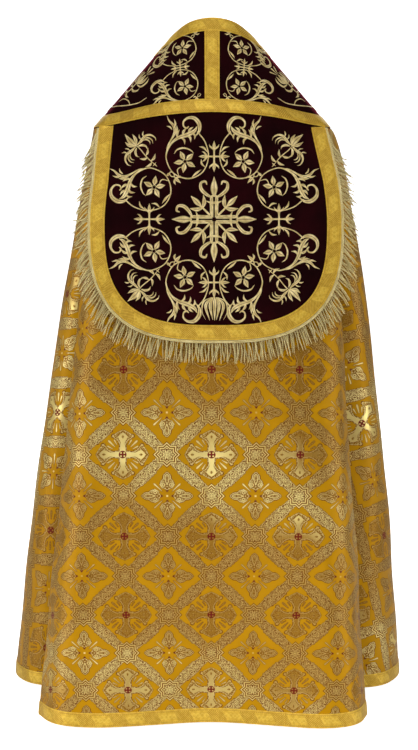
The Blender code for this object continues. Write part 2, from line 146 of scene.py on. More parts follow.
class Finish:
    """A material in the making: its node tree, the place on the cut and the shader's sockets."""

    def __init__(self, name):
        self.material = bpy.data.materials.new(name)
        self.material.use_nodes = True
        self.tree = self.material.node_tree
        self.shader = self.tree.nodes["Principled BSDF"]

    def place(self, layer):
        """The two coordinates of a UV map, as one vector socket and two numbers."""
        node = self.tree.nodes.new("ShaderNodeUVMap")
        node.uv_map = layer
        parts = self.tree.nodes.new("ShaderNodeSeparateXYZ")
        self.tree.links.new(node.outputs[0], parts.inputs[0])
        first, second = (Value(self.tree, parts.outputs[k]) for k in (0, 1))
        return node.outputs[0], first, second

    def noise(self, where, scale, detail):
        """Cloudy unevenness from 0 to 1, so many times a unit, with so many finer layers."""
        node = self.tree.nodes.new("ShaderNodeTexNoise")
        node.noise_dimensions = "2D" if where.node.type == "UVMAP" else "3D"
        self.tree.links.new(where, node.inputs["Vector"])
        node.inputs["Scale"].default_value = scale
        node.inputs["Detail"].default_value = detail
        node.inputs["Roughness"].default_value = 0.5
        return Value(self.tree, node.outputs[0])

    def colour(self, under, over, share):
        """A colour that goes from under to over by a share; each is a triple or a socket."""
        node = self.tree.nodes.new("ShaderNodeMix")
        node.data_type = "RGBA"
        self.tree.links.new(share.socket, node.inputs["Factor"])
        for place, value in ((node.inputs[6], under), (node.inputs[7], over)):
            if isinstance(value, tuple):
                place.default_value = (*value, 1.0)
            else:
                self.tree.links.new(value, place)
        return node.outputs[2]

    def set(self, **sockets):
        """Give each named socket of the shader a number, a colour, a Value or a socket."""
        for name, value in sockets.items():
            place = self.shader.inputs[name.replace("_", " ")]
            if isinstance(value, Value):
                self.tree.links.new(value.socket, place)
            elif isinstance(value, bpy.types.NodeSocket):
                self.tree.links.new(value, place)
            elif isinstance(value, tuple):
                place.default_value = (*value, 1.0)
            else:
                place.default_value = value

    def relief(self, height, distance, strength):
        """Threads and folds too small for the mesh: height in 0..1 stands for distance metres."""
        bump = self.tree.nodes.new("ShaderNodeBump")
        bump.inputs["Strength"].default_value = strength
        bump.inputs["Distance"].default_value = distance
        self.tree.links.new(height.socket, bump.inputs["Height"])
        self.tree.links.new(bump.outputs[0], self.shader.inputs["Normal"])


def grid_faces(rows, columns):
    """The corners of each face of a grid of points, which are numbered row by row."""
    corner = (np.arange(rows - 1)[:, None] * columns + np.arange(columns - 1)).ravel()
    return np.stack([corner, corner + 1, corner + columns + 1, corner + columns], 1)


def sweep(half_width, reach, wall_height, bend):
    """The floor, which turns up into the wall in a quarter circle: a profile carried sideways."""
    turn = np.linspace(0.0, np.pi / 2, 17)
    run = np.concatenate([[reach], -reach - bend * np.sin(turn), [-reach - bend]])
    rise = np.concatenate([[0.0], bend * (1 - np.cos(turn)), [wall_height]])
    side = np.linspace(-half_width, half_width, 3)
    points = np.stack(np.broadcast_arrays(side[None], run[:, None], FLOOR_Z + rise[:, None]), -1)
    faces = grid_faces(*points.shape[:2])[:, ::-1]
    mesh = bpy.data.meshes.new("studio_floor")
    mesh.from_pydata(points.reshape(-1, 3).tolist(), [], faces.tolist())
    mesh.shade_smooth()
    return bpy.data.objects.new("studio_floor", mesh)


floor = sweep(half_width=9.0, reach=6.0, wall_height=9.0, bend=2.5)
pale = Finish("pale_floor")
light_path = pale.tree.nodes.new("ShaderNodeLightPath")
seen = Value(pale.tree, light_path.outputs["Is Camera Ray"])
pale.set(Base_Color=(0.90, 0.90, 0.90), Roughness=0.9, Emission_Color=(1.0, 1.0, 1.0),
         Emission_Strength=seen * FLOOR_GLOW)
floor.data.materials.append(pale.material)
bpy.context.scene.collection.objects.link(floor)


def soft_box(name, spot, aim, width, height, watts, spread=180.0):
    """A rectangular lamp at spot that faces the point aim; its beam spreads so many degrees."""
    lamp = bpy.data.lights.new(name, "AREA")
    lamp.shape = "RECTANGLE"
    lamp.size, lamp.size_y = width, height
    lamp.energy = watts
    lamp.spread = np.radians(spread)
    made = bpy.data.objects.new(name, lamp)
    made.location = spot
    away = np.array(spot) - np.array(aim)
    made.rotation_euler = (np.arctan2(np.hypot(away[0], away[1]), away[2]), 0.0,
                           np.arctan2(away[1], away[0]) + np.pi / 2)
    bpy.context.scene.collection.objects.link(made)


# name, where it stands, what it faces, width, height, watts, spread of the beam
soft_box("box_left", (3.8, 1.3, -0.3), (0.0, 0.1, -0.8), 1.8, 2.4, 64.0)
soft_box("box_right", (-3.8, 1.3, -0.2), (0.0, 0.1, -0.8), 1.8, 2.4, 44.0)
soft_box("box_top", (0.0, 1.5, 3.0), (0.0, 0.1, -0.5), 3.0, 2.0, 54.0)
soft_box("box_front", (0.0, -4.0, 1.2), (0.0, 0.0, -0.7), 2.6, 2.4, 66.0)
soft_box("box_high", (0.5, 4.9, 0.38), (0.0, 0.3, -0.9), 1.1, 0.22, 17.0)
soft_box("box_low", (0.0, 4.3, -1.10), (0.0, 0.3, -1.0), 3.0, 0.35, 8.0)
soft_box("box_floor", (0.0, 2.4, 1.4), (0.0, 1.6, -1.43), 1.5, 0.8, 20.0, 50.0)

world = bpy.data.worlds.new("pale_room")
world.use_nodes = True
world_nodes = world.node_tree.nodes
room = world_nodes["Background"]                          # what lights the cope
room.inputs["Color"].default_value = (1.0, 1.0, 1.0, 1.0)
room.inputs["Strength"].default_value = ROOM_LIGHT
backdrop = world_nodes.new("ShaderNodeBackground")        # what the camera itself sees
backdrop.inputs["Strength"].default_value = WALL_GLOW
either = world_nodes.new("ShaderNodeMixShader")
ray = world_nodes.new("ShaderNodeLightPath")
for source, target in ((ray.outputs["Is Camera Ray"], either.inputs[0]),
                       (room.outputs[0], either.inputs[1]),
                       (backdrop.outputs[0], either.inputs[2]),
                       (either.outputs[0], world_nodes["World Output"].inputs[0])):
    world.node_tree.links.new(source, target)
bpy.context.scene.world = world


# ---- the velvet bands --------------------------------------------------------------------------
# Two bands of burgundy velvet on interlining meet at the centre of the back, lie over the
# shoulders as a yoke and run down both front edges.  They carry the whole cape.

VELVET_WALL = 0.0025
GAP = 0.0003              # between any two pieces
# A row for each station: the band's outer edge (neck, then front edge) and its seam.
BAND = (
    # edge x, edge y, edge z,  seam x, seam y, seam z
    (0.000, 0.078, 0.000, 0.000, 0.150, -0.195),      # 0 centre of the back
    (0.042, 0.070, -0.008, 0.110, 0.139, -0.203),     # 1 back of the neck
    (0.076, 0.045, -0.031, 0.200, 0.108, -0.220),     # 2 shoulder blade
    (0.094, 0.020, -0.050, 0.2390, 0.083, -0.226),    # 3 corner of the hood
    (0.101, -0.012, -0.060, 0.2490, 0.005, -0.229),   # 4 top of the shoulder
    (0.088, -0.062, -0.098, 0.2440, -0.050, -0.242),  # 5 front of the shoulder
    (0.062, -0.110, -0.155, 0.2340, -0.086, -0.269),  # 6 collarbone
    (0.034, -0.143, -0.215, 0.2290, -0.106, -0.305),  # 7 chest
    (0.017, -0.163, -0.285, 0.2230, -0.121, -0.348),  # 8 clasp
    (0.012, -0.178, -0.400, 0.2200, -0.138, -0.440),  # 9 breast
    (0.014, -0.204, -0.750, 0.2240, -0.174, -0.765),  # 10 waist
    (0.026, -0.268, -1.402, 0.2360, -0.262, -1.404),  # 11 hem
)
EDGE = np.array([row[:3] for row in BAND])
SEAM = np.array([row[3:] for row in BAND])
LAST_STATION = len(BAND) - 1.0


def through(points, t):
    """A smooth curve through the rows of points (Catmull-Rom), read at the stations t."""
    last = len(points) - 1
    padded = np.vstack([2 * points[0] - points[1], points, 2 * points[-1] - points[-2]])
    i = np.clip(np.floor(t).astype(int), 0, last - 1)
    f = (t - i)[..., None]
    p0, p1, p2, p3 = (padded[i + k] for k in range(4))
    return 0.5 * (2 * p1 + (p2 - p0) * f + (2 * p0 - 5 * p1 + 4 * p2 - p3) * f ** 2
                  + (3 * p1 - p0 - 3 * p2 + p3) * f ** 3)


def mirrored(points, t):
    """The same curve on both sides: stations below zero are the right side, at -X."""
    both = np.vstack([(points * np.array([[-1.0, 1.0, 1.0]]))[:0:-1], points])
    return through(both, t + len(points) - 1)


def velvet_band(t, w):
    """The band: straight across from its edge (w = 0) to its seam (w = 1) at station t."""
    return mirrored(EDGE, t) * (1 - w[..., None]) + mirrored(SEAM, t) * w[..., None]


def lifted(grid, height):
    """A grid of points moved out along the mean normals of the faces that meet at each point.

    The height is one number, or one for each point.
    """
    face = np.cross(grid[:-1, 1:] - grid[1:, :-1], grid[1:, 1:] - grid[:-1, :-1])
    face /= np.maximum(np.linalg.norm(face, axis=-1, keepdims=True), 1e-12)
    rows, columns = grid.shape[:2]
    normal = np.zeros_like(grid)
    for i, j in ((0, 0), (0, 1), (1, 0), (1, 1)):
        normal[i:rows - 1 + i, j:columns - 1 + j] += face
    normal /= np.maximum(np.linalg.norm(normal, axis=-1, keepdims=True), 1e-12)
    return grid + normal * np.asarray(height)[..., None]


def piece(name, points, faces, finishes, sharp=None, kinds=None, **places):
    """A smooth closed mesh as a piece of the cope's one body.

    Turns of more than sharp degrees stay sharp.  kinds says which finish each face has, and
    places gives, for each UV map, the place of every point, such as where it lies on the cut.
    """
    mesh = bpy.data.meshes.new(name)
    mesh.from_pydata(points.reshape(-1, 3).tolist(), [], faces)
    corners = np.empty(len(mesh.loops), dtype=np.int32)
    mesh.loops.foreach_get("vertex_index", corners)
    for layer, spots in places.items():
        spots = spots.reshape(-1, 2)[corners].astype(np.float32)
        mesh.uv_layers.new(name=layer).data.foreach_set("uv", spots.ravel())
    if kinds is not None:
        mesh.polygons.foreach_set("material_index", kinds.astype(np.int32))
    mesh.shade_smooth()
    if sharp:
        mesh.set_sharp_from_angle(angle=np.radians(sharp))
    for finish in finishes:
        mesh.materials.append(finish)
    made = bpy.data.objects.new(name, mesh)
    bpy.context.scene.collection.objects.link(made)
    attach(made, "root")
    return made


def cloth(name, under, over, finishes, **places):
    """A closed sheet between two grids of points: rows run down, columns from right to left.

    The finishes are for the outer face, the inner face and the cut edge; one may do for all.
    """
    rows, columns = under.shape[:2]
    count = rows * columns
    outer = grid_faces(rows, columns)
    inner = outer[:, ::-1] + count
    whole = np.arange(count).reshape(rows, columns)
    round_edge = np.concatenate([whole[0, :-1], whole[:-1, -1], whole[-1, :0:-1], whole[:0:-1, 0]])
    following = np.roll(round_edge, -1)
    rim = np.stack([following, round_edge, round_edge + count, following + count], 1)
    kinds = np.repeat([0, min(1, len(finishes) - 1), min(2, len(finishes) - 1)],
                      [len(outer), len(inner), len(rim)])
    twice = {layer: np.stack([grid, grid]) for layer, grid in places.items()}
    return piece(name, np.stack([over, under]), np.concatenate([outer, inner, rim]).tolist(),
                 finishes, 60, kinds, **twice)


def laid_flat(edge, seam):
    """Both edges of a strip laid flat, triangle by triangle, so that every length is kept.

    The first edge point comes to zero, the first seam point straight below it, and the strip
    grows towards +x.
    """
    def corner(low, high, from_low, from_high):
        apart = np.hypot(*(high - low))
        along = (from_low ** 2 - from_high ** 2 + apart ** 2) / (2 * apart)
        off = np.sqrt(max(from_low ** 2 - along ** 2, 0.0))
        ahead = (high - low) / apart
        return low + ahead * along + np.array([ahead[1], -ahead[0]]) * off

    length = np.linalg.norm
    flat_edge, flat_seam = [np.zeros(2)], [np.array([0.0, -length(seam[0] - edge[0])])]
    for j in range(1, len(edge)):
        flat_edge.append(corner(flat_seam[-1], flat_edge[-1], length(edge[j] - seam[j - 1]),
                                length(edge[j] - edge[j - 1])))
        flat_seam.append(corner(flat_seam[-1], flat_edge[-1], length(seam[j] - seam[j - 1]),
                                length(seam[j] - edge[j])))
    return np.array(flat_edge), np.array(flat_seam)


def velvet_finish():
    """Short dense pile: nearly black face on, wine red where it is seen along the pile."""
    finish = Finish("burgundy_velvet")
    where = finish.place("cut")[0]
    brushed = finish.noise(where, 9.0, 3.0)
    pile = finish.noise(where, 900.0, 1.0)
    finish.set(Base_Color=finish.colour((0.0060, 0.0003, 0.0007), (0.014, 0.0006, 0.0015),
                                        brushed.step(0.35, 0.75)),
               Roughness=0.85, Specular_IOR_Level=0.03, Sheen_Weight=0.58, Sheen_Roughness=0.28,
               Sheen_Tint=(0.55, 0.01, 0.06))
    finish.relief(pile, 0.0004, 0.5)
    return finish.material


def lining_finish():
    """Plain gold satin on the inside of every panel."""
    finish = Finish("gold_lining")
    where, _, down = finish.place("cut")
    soft = finish.noise(where, 40.0, 3.0)
    threads = (down * 2600.0).math("SINE") * 0.5 + 0.5
    finish.set(Base_Color=finish.colour((0.42, 0.24, 0.018), (0.50, 0.30, 0.028), soft),
               Roughness=0.45, Specular_IOR_Level=0.4, Sheen_Weight=0.15)
    finish.relief(threads * 0.4 + soft * 0.6, 0.0003, 0.4)
    return finish.material


velvet, lining = velvet_finish(), lining_finish()
STATIONS = np.linspace(0.0, LAST_STATION, 400)
FLAT_EDGE, FLAT_SEAM = laid_flat(mirrored(EDGE, STATIONS), mirrored(SEAM, STATIONS))


def on_flat(flat_line, t):
    """A flat edge read at stations t; the right side is the left side's mirror image."""
    x, y = (np.interp(np.abs(t), STATIONS, flat_line[:, k]) for k in (0, 1))
    return np.stack([np.sign(t) * x, y], -1)


def band_cut(t, w):
    """Where points of the band lie on its flat cut."""
    return on_flat(FLAT_EDGE, t) * (1 - w[..., None]) + on_flat(FLAT_SEAM, t) * w[..., None]


BAND_COLUMNS, BAND_ROWS = 240, 17
TO_SEAM = 0.9985          # share of the band's width at which its pieces end, short of the seam
for name, first, last in (("right", -LAST_STATION, -0.002), ("left", 0.002, LAST_STATION)):
    t, w = np.meshgrid(np.linspace(first, last, BAND_COLUMNS), np.linspace(0, TO_SEAM, BAND_ROWS))
    under = velvet_band(t, w)
    band = cloth("orphrey_velvet_" + name, under, lifted(under, VELVET_WALL),
                 (velvet, lining, velvet), cut=band_cut(t, w))
    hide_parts("orphrey_" + name)


# ---- the cape ----------------------------------------------------------------------------------
# Gold lattice brocade, cut as part of a circle and sewn to the velvet's outer edge.  It falls
# in a wide back panel, a deep fold behind each shoulder, a side panel and two folds in front.
# The cape is joined inside the deep folds.

BROCADE_WALL = 0.0020
SHOULDER_STATION = 5.6    # where the cape's upper edge turns down the front
SEAM_LINE = 12            # the fold line that is the front seam
JOIN_LINE = 4.5           # the join, inside the deep fold
EASE_LEVEL = 0.10         # share of the drop over which the folds are eased onto the seam
# Each panel: the fold lines it lies between, the width and length of the cloth it is cut from,
# its own area, and the bands that it hangs from.
PANELS = (
    ("back", -JOIN_LINE, JOIN_LINE, (1.09, 1.25), 1.00,
     ["orphrey_velvet_left", "orphrey_velvet_right"]),
    ("left", JOIN_LINE, SEAM_LINE, (1.15, 1.23), 0.89, ["orphrey_velvet_left"]),
    ("right", -SEAM_LINE, -JOIN_LINE, (1.12, 1.23), 0.86, ["orphrey_velvet_right"]),
)
# A row for each fold line: the station where it starts, its place at the hem, how far it swells
# sideways, how much of the way to the next line is round, and the share of the drop over which
# it opens.
LEFT_FOLDS = (
    # top, hem x, hem y, swell, round, opens over
    (0.90, 0.122, 0.396, 0.000, 0.50, 0.00),    # middle of the back panel
    (1.80, 0.236, 0.418, 0.000, 0.50, 0.00),    # lobe
    (2.50, 0.318, 0.394, 0.002, 0.45, 0.00),    # turn
    (3.00, 0.358, 0.306, 0.000, 0.20, 0.00),    # back ridge
    (3.40, 0.112, 0.088, 0.000, 0.26, 0.22),    # back valley
    (3.65, 0.368, 0.132, 0.012, 0.45, 0.00),    # side panel, behind
    (4.00, 0.438, 0.010, 0.018, 0.50, 0.00),    # side
    (4.35, 0.410, -0.165, 0.014, 0.35, 0.00),   # front ridge
    (4.60, 0.160, -0.070, 0.000, 0.30, 0.25),   # front valley
    (4.95, 0.352, -0.268, 0.010, 0.35, 0.00),   # second front ridge
    (5.30, 0.130, -0.135, 0.000, 0.30, 0.30),   # second front valley
)
RIGHT_FOLDS = (
    # top, hem x, hem y, swell, round, opens over
    (0.90, 0.128, 0.400, 0.000, 0.50, 0.00),    # middle of the back panel
    (1.80, 0.222, 0.424, 0.000, 0.50, 0.00),    # lobe
    (2.50, 0.290, 0.398, 0.004, 0.45, 0.00),    # turn
    (3.00, 0.317, 0.306, 0.002, 0.20, 0.00),    # back ridge
    (3.40, 0.108, 0.085, 0.000, 0.26, 0.22),    # back valley
    (3.65, 0.346, 0.150, 0.026, 0.45, 0.00),    # side panel, behind
    (4.00, 0.418, 0.015, 0.034, 0.50, 0.00),    # side
    (4.35, 0.396, -0.170, 0.022, 0.35, 0.00),   # front ridge
    (4.62, 0.165, -0.075, 0.000, 0.30, 0.25),   # front valley
    (4.95, 0.340, -0.262, 0.012, 0.35, 0.00),   # second front ridge
    (5.30, 0.135, -0.140, 0.000, 0.30, 0.30),   # second front valley
)
CENTRE_FOLD = (0.0, 0.004, 0.368, 0.0, 0.50, 0.0)


def fold_lines(rows, sign):
    """Top point, hem point, swell, roundness and opening of each fold line of one side."""
    table = np.array(rows)
    top = mirrored(SEAM, sign * table[:, 0])
    hem = np.stack([sign * table[:, 1], table[:, 2], np.full(len(table), HEM_Z)], axis=1)
    return top, hem, sign * table[:, 3], table[:, 4], table[:, 5]


TOPS, HEMS, SWELLS, ROUNDS, OPENS = (
    np.concatenate([right[::-1], middle, left]) for right, middle, left in zip(
        fold_lines(RIGHT_FOLDS, -1.0), fold_lines((CENTRE_FOLD,), 1.0),
        fold_lines(LEFT_FOLDS, 1.0)))
TOP_STATIONS = np.array([-SHOULDER_STATION] + [-row[0] for row in RIGHT_FOLDS[::-1]] + [0.0]
                        + [row[0] for row in LEFT_FOLDS] + [SHOULDER_STATION])


def front_seam(s, sign):
    """The brocade's front edge at the share s of its drop: the velvet's seam at that height."""
    stations = np.linspace(SHOULDER_STATION, LAST_STATION, 60)
    heights = through(SEAM, stations)[:, 2]
    wanted = heights[0] + (heights[-1] - heights[0]) * s
    return mirrored(SEAM, sign * np.interp(-wanted, -heights, stations))


def line_point(k, s):
    """A point of fold line k (0 is the centre of the back) at the share s of the drop.

    A line runs straight from the seam to the hem and swells sideways by s^power (1 - s), with
    power 1 on the left and 1/2 on the right.  A valley starts between its neighbours and opens
    over the first share of the drop.
    """
    i = np.clip(k + len(LEFT_FOLDS), 0, len(TOPS) - 1)
    before, after = np.clip(i - 1, 0, None), np.clip(i + 1, None, len(TOPS) - 1)
    flat_hem = 0.5 * (HEMS[before] + HEMS[after])
    opens = OPENS[i]
    share = np.where(opens > 0, np.clip(s / np.maximum(opens, 1e-6), 0, 1), 1.0)
    share = share * share * (3 - 2 * share)
    hem = flat_hem + (HEMS[i] - flat_hem) * share[..., None]
    hem = np.where(opens[..., None] > 0, hem, HEMS[i])
    point = TOPS[i] + (hem - TOPS[i]) * s[..., None]
    power = np.where(k > 0, 1.0, 0.5)
    peak = power ** power / (power + 1) ** (power + 1)
    point[..., 0] += SWELLS[i] * s ** power * (1 - s) / peak
    point = np.where((k >= SEAM_LINE)[..., None], front_seam(s, 1.0), point)
    return np.where((k <= -SEAM_LINE)[..., None], front_seam(s, -1.0), point)


def folded(u, s):
    """Straight between fold lines and turned round each one by a quadratic arc."""
    near = np.clip(np.round(u), 1 - SEAM_LINE, SEAM_LINE - 1).astype(int)
    reach = ROUNDS[near + len(LEFT_FOLDS)]
    here, before, after = line_point(near, s), line_point(near - 1, s), line_point(near + 1, s)
    offset = u - near
    straight = here + (np.where((offset < 0)[..., None], before, after) - here) \
        * np.abs(offset)[..., None]
    start = here + (before - here) * reach[..., None]
    end = here + (after - here) * reach[..., None]
    f = np.clip((offset + reach) / (2 * reach), 0, 1)[..., None]
    arc = (1 - f) ** 2 * start + 2 * f * (1 - f) * here + f ** 2 * end
    return np.where((np.abs(offset) < reach)[..., None], arc, straight)


def plain_fall(u, s):
    """The cape without its small waves: the folds, eased at the top onto the velvet's seam."""
    lines = np.arange(-SEAM_LINE, SEAM_LINE + 1.0)
    seam = mirrored(SEAM, np.interp(u, lines, TOP_STATIONS))
    ease = np.clip(1 - s / EASE_LEVEL, 0, 1)[..., None] ** 2
    return folded(u, s) + (seam - folded(u, np.zeros_like(s))) * ease


# Soft ridges (+) and troughs (-) of the hanging cloth, in metres out of it.
CREASES = (
    # at the top (u), at the hem (u), from s, to s, half width (u), height
    (0.20, 0.45, 0.30, 1.20, 0.55, 0.0030),
    (-0.55, -0.95, 0.25, 1.20, 0.60, 0.0028),
    (1.30, 1.45, 0.35, 1.10, 0.40, -0.0026),
    (-1.50, -1.75, 0.45, 1.15, 0.45, -0.0030),
    (2.10, 2.20, 0.20, 0.90, 0.35, 0.0024),
    (-2.30, -2.35, 0.30, 1.00, 0.35, 0.0026),
    (5.60, 6.10, 0.25, 1.10, 0.30, -0.0030),
    (6.60, 6.80, 0.40, 1.20, 0.35, 0.0034),
    (-5.70, -6.20, 0.30, 1.10, 0.30, -0.0034),
    (-6.70, -6.90, 0.35, 1.20, 0.30, 0.0036),
    (7.60, 7.70, 0.30, 1.20, 0.30, -0.0028),
    (-7.50, -7.70, 0.30, 1.20, 0.30, -0.0028),
)


def waves(u, s):
    """How far the cloth stands out of its plain fall, in metres.

    The sum of the creases, each a bell across its line that fades in and out down its length,
    and of a long low swell down the cloth, all nothing at the top seam.
    """
    height = np.zeros_like(s)
    for top, hem, start, end, half, rise in CREASES:
        off = (u - top - (hem - top) * s) / half
        along = np.clip((s - start) / (end - start), 0, 1)
        height = height + rise * np.exp(-off ** 2) * np.sin(np.pi * along) ** 2
    swell = 0.0016 * np.sin(2 * np.pi * (2.9 * s + 0.11 * u) + 0.6) * np.sin(0.7 * u + 1.0)
    swell += 0.0010 * np.sin(2 * np.pi * (5.3 * s - 0.21 * u)) * np.sin(1.1 * u + 4.0 * s)
    return (height + swell) * np.clip(s / 0.12, 0, 1) ** 2


def turned(places, about, degrees):
    """Flat places moved so that about comes to zero and turned."""
    a = np.radians(degrees)
    x, y = places[..., 0] - about[0], places[..., 1] - about[1]
    return np.stack([x * np.cos(a) - y * np.sin(a), x * np.sin(a) + y * np.cos(a)], -1)


REPEAT = (0.187, 0.170)   # width and height of the lattice's repeat
# How each side panel's grain lies: a cross stands at this place, turned by so many degrees.
GRAIN = {"left": ((0.6120, -0.5156), 20.5), "right": ((0.5854, -0.5554), 9.0)}
FIRST_ROW = 0.699         # how far down the back panel the first free row of crosses stands
ROW_STEP, ROW_CLOSING = 0.169, 0.004            # its rows: height, and how much each loses
COLUMN_STEP, COLUMN_CLOSING = 0.1845, 0.033     # its columns: width, and loss a metre of fall


def back_repeats(flat):
    """Places on the back panel counted in repeats, which draw a little closer to the hem.

    Row n lies ROW_STEP n - ROW_CLOSING n squared below the first one, solved for n.
    """
    fall = np.maximum(-flat[..., 1], 0.0)
    column = COLUMN_STEP - COLUMN_CLOSING * np.clip(fall - 0.70, 0, 1)
    inner = ROW_STEP ** 2 - 4 * ROW_CLOSING * (fall - FIRST_ROW)
    return np.stack([flat[..., 0] / column, (ROW_STEP - np.sqrt(inner)) / (2 * ROW_CLOSING)], -1)


def side_repeats(flat, grain):
    """Places on a side panel counted in repeats."""
    return turned(flat, *grain) / np.array(REPEAT)


# The brocade's figures, each half of a mirrored outline: how wide it is (second number) at a
# distance from the middle of its diamond (first number), both in half diamonds.
CROSS_WIDE = ((0.0, 0.10), (0.13, 0.090), (0.21, 0.080), (0.30, 0.108), (0.36, 0.165),
              (0.41, 0.240), (0.46, 0.248), (0.49, 0.195), (0.54, 0.125), (0.62, 0.0), (1.0, 0.0))
CROSS_CORE = ((0.0, 0.062), (0.12, 0.056), (0.22, 0.046), (0.30, 0.052), (0.36, 0.085),
              (0.425, 0.112), (0.47, 0.085), (0.555, 0.0), (1.0, 0.0))
CROSS_RAY = ((0.0, 0.0), (0.24, 0.0), (0.265, 0.011), (0.42, 0.025), (0.47, 0.019), (0.50, 0.0),
             (1.0, 0.0))
CROSS_SIDE_RAY = ((0.0, 0.0), (0.25, 0.0), (0.27, 0.009), (0.40, 0.020), (0.43, 0.0), (1.0, 0.0))
LEAF_WIDE = ((0.0, 0.0), (0.07, 0.0), (0.10, 0.010), (0.155, 0.034), (0.195, 0.100),
             (0.235, 0.152), (0.30, 0.166), (0.35, 0.154), (0.40, 0.118), (0.44, 0.098),
             (0.475, 0.102), (0.51, 0.088), (0.56, 0.048), (0.62, 0.0), (1.0, 0.0))
LEAF_BUD = ((0.0, 0.0), (0.20, 0.0), (0.30, 0.012), (0.37, 0.036), (0.44, 0.046), (0.50, 0.034),
            (0.57, 0.0), (1.0, 0.0))
LEAF_CURL = (0.272, 0.082)      # middle of the small curl in each side of a leaf
LEAF_RAY = ((0.0, 0.0), (0.06, 0.0), (0.18, 0.010), (0.38, 0.021), (0.42, 0.017), (0.445, 0.0),
            (1.0, 0.0))
LEAF_SIDE_RAY = ((0.0, 0.0), (0.12, 0.0), (0.22, 0.009), (0.33, 0.015), (0.36, 0.0), (1.0, 0.0))
STAR_HALF = 0.222         # half the side of the two squares that make the star
BAND_HALF = 0.080         # half the width of a lattice band, in spaces between bands
SOFT = 0.007              # how far a figure's edge fades
DIAGONAL = 0.7071         # cosine of 45 degrees
# Waves of painted highlight on the metal thread: turns a repeat, down and across, and their start.
PAINTED_HIGHLIGHT_WAVE = (0.335, 0.10, 0.18)
# Colours: satin and metal thread, each in a darker and a paler tone; shining thread and fine
# lines, each with painted shade and with painted highlight; the outlines; the middles of the
# crosses.
SATIN = ((0.355, 0.163, 0.001), (0.435, 0.214, 0.0025))
METAL_THREAD = ((0.145, 0.056, 0.003), (0.325, 0.163, 0.018))
THREAD_PAINTED_SHADED_AND_LIT = ((0.30, 0.17, 0.030), (0.80, 0.66, 0.25))
FINE_LINES_PAINTED_SHADED_AND_LIT = ((0.58, 0.42, 0.125), (0.90, 0.76, 0.31))
RUSSET = (0.12, 0.030, 0.005)
RUBY = (0.125, 0.008, 0.007)


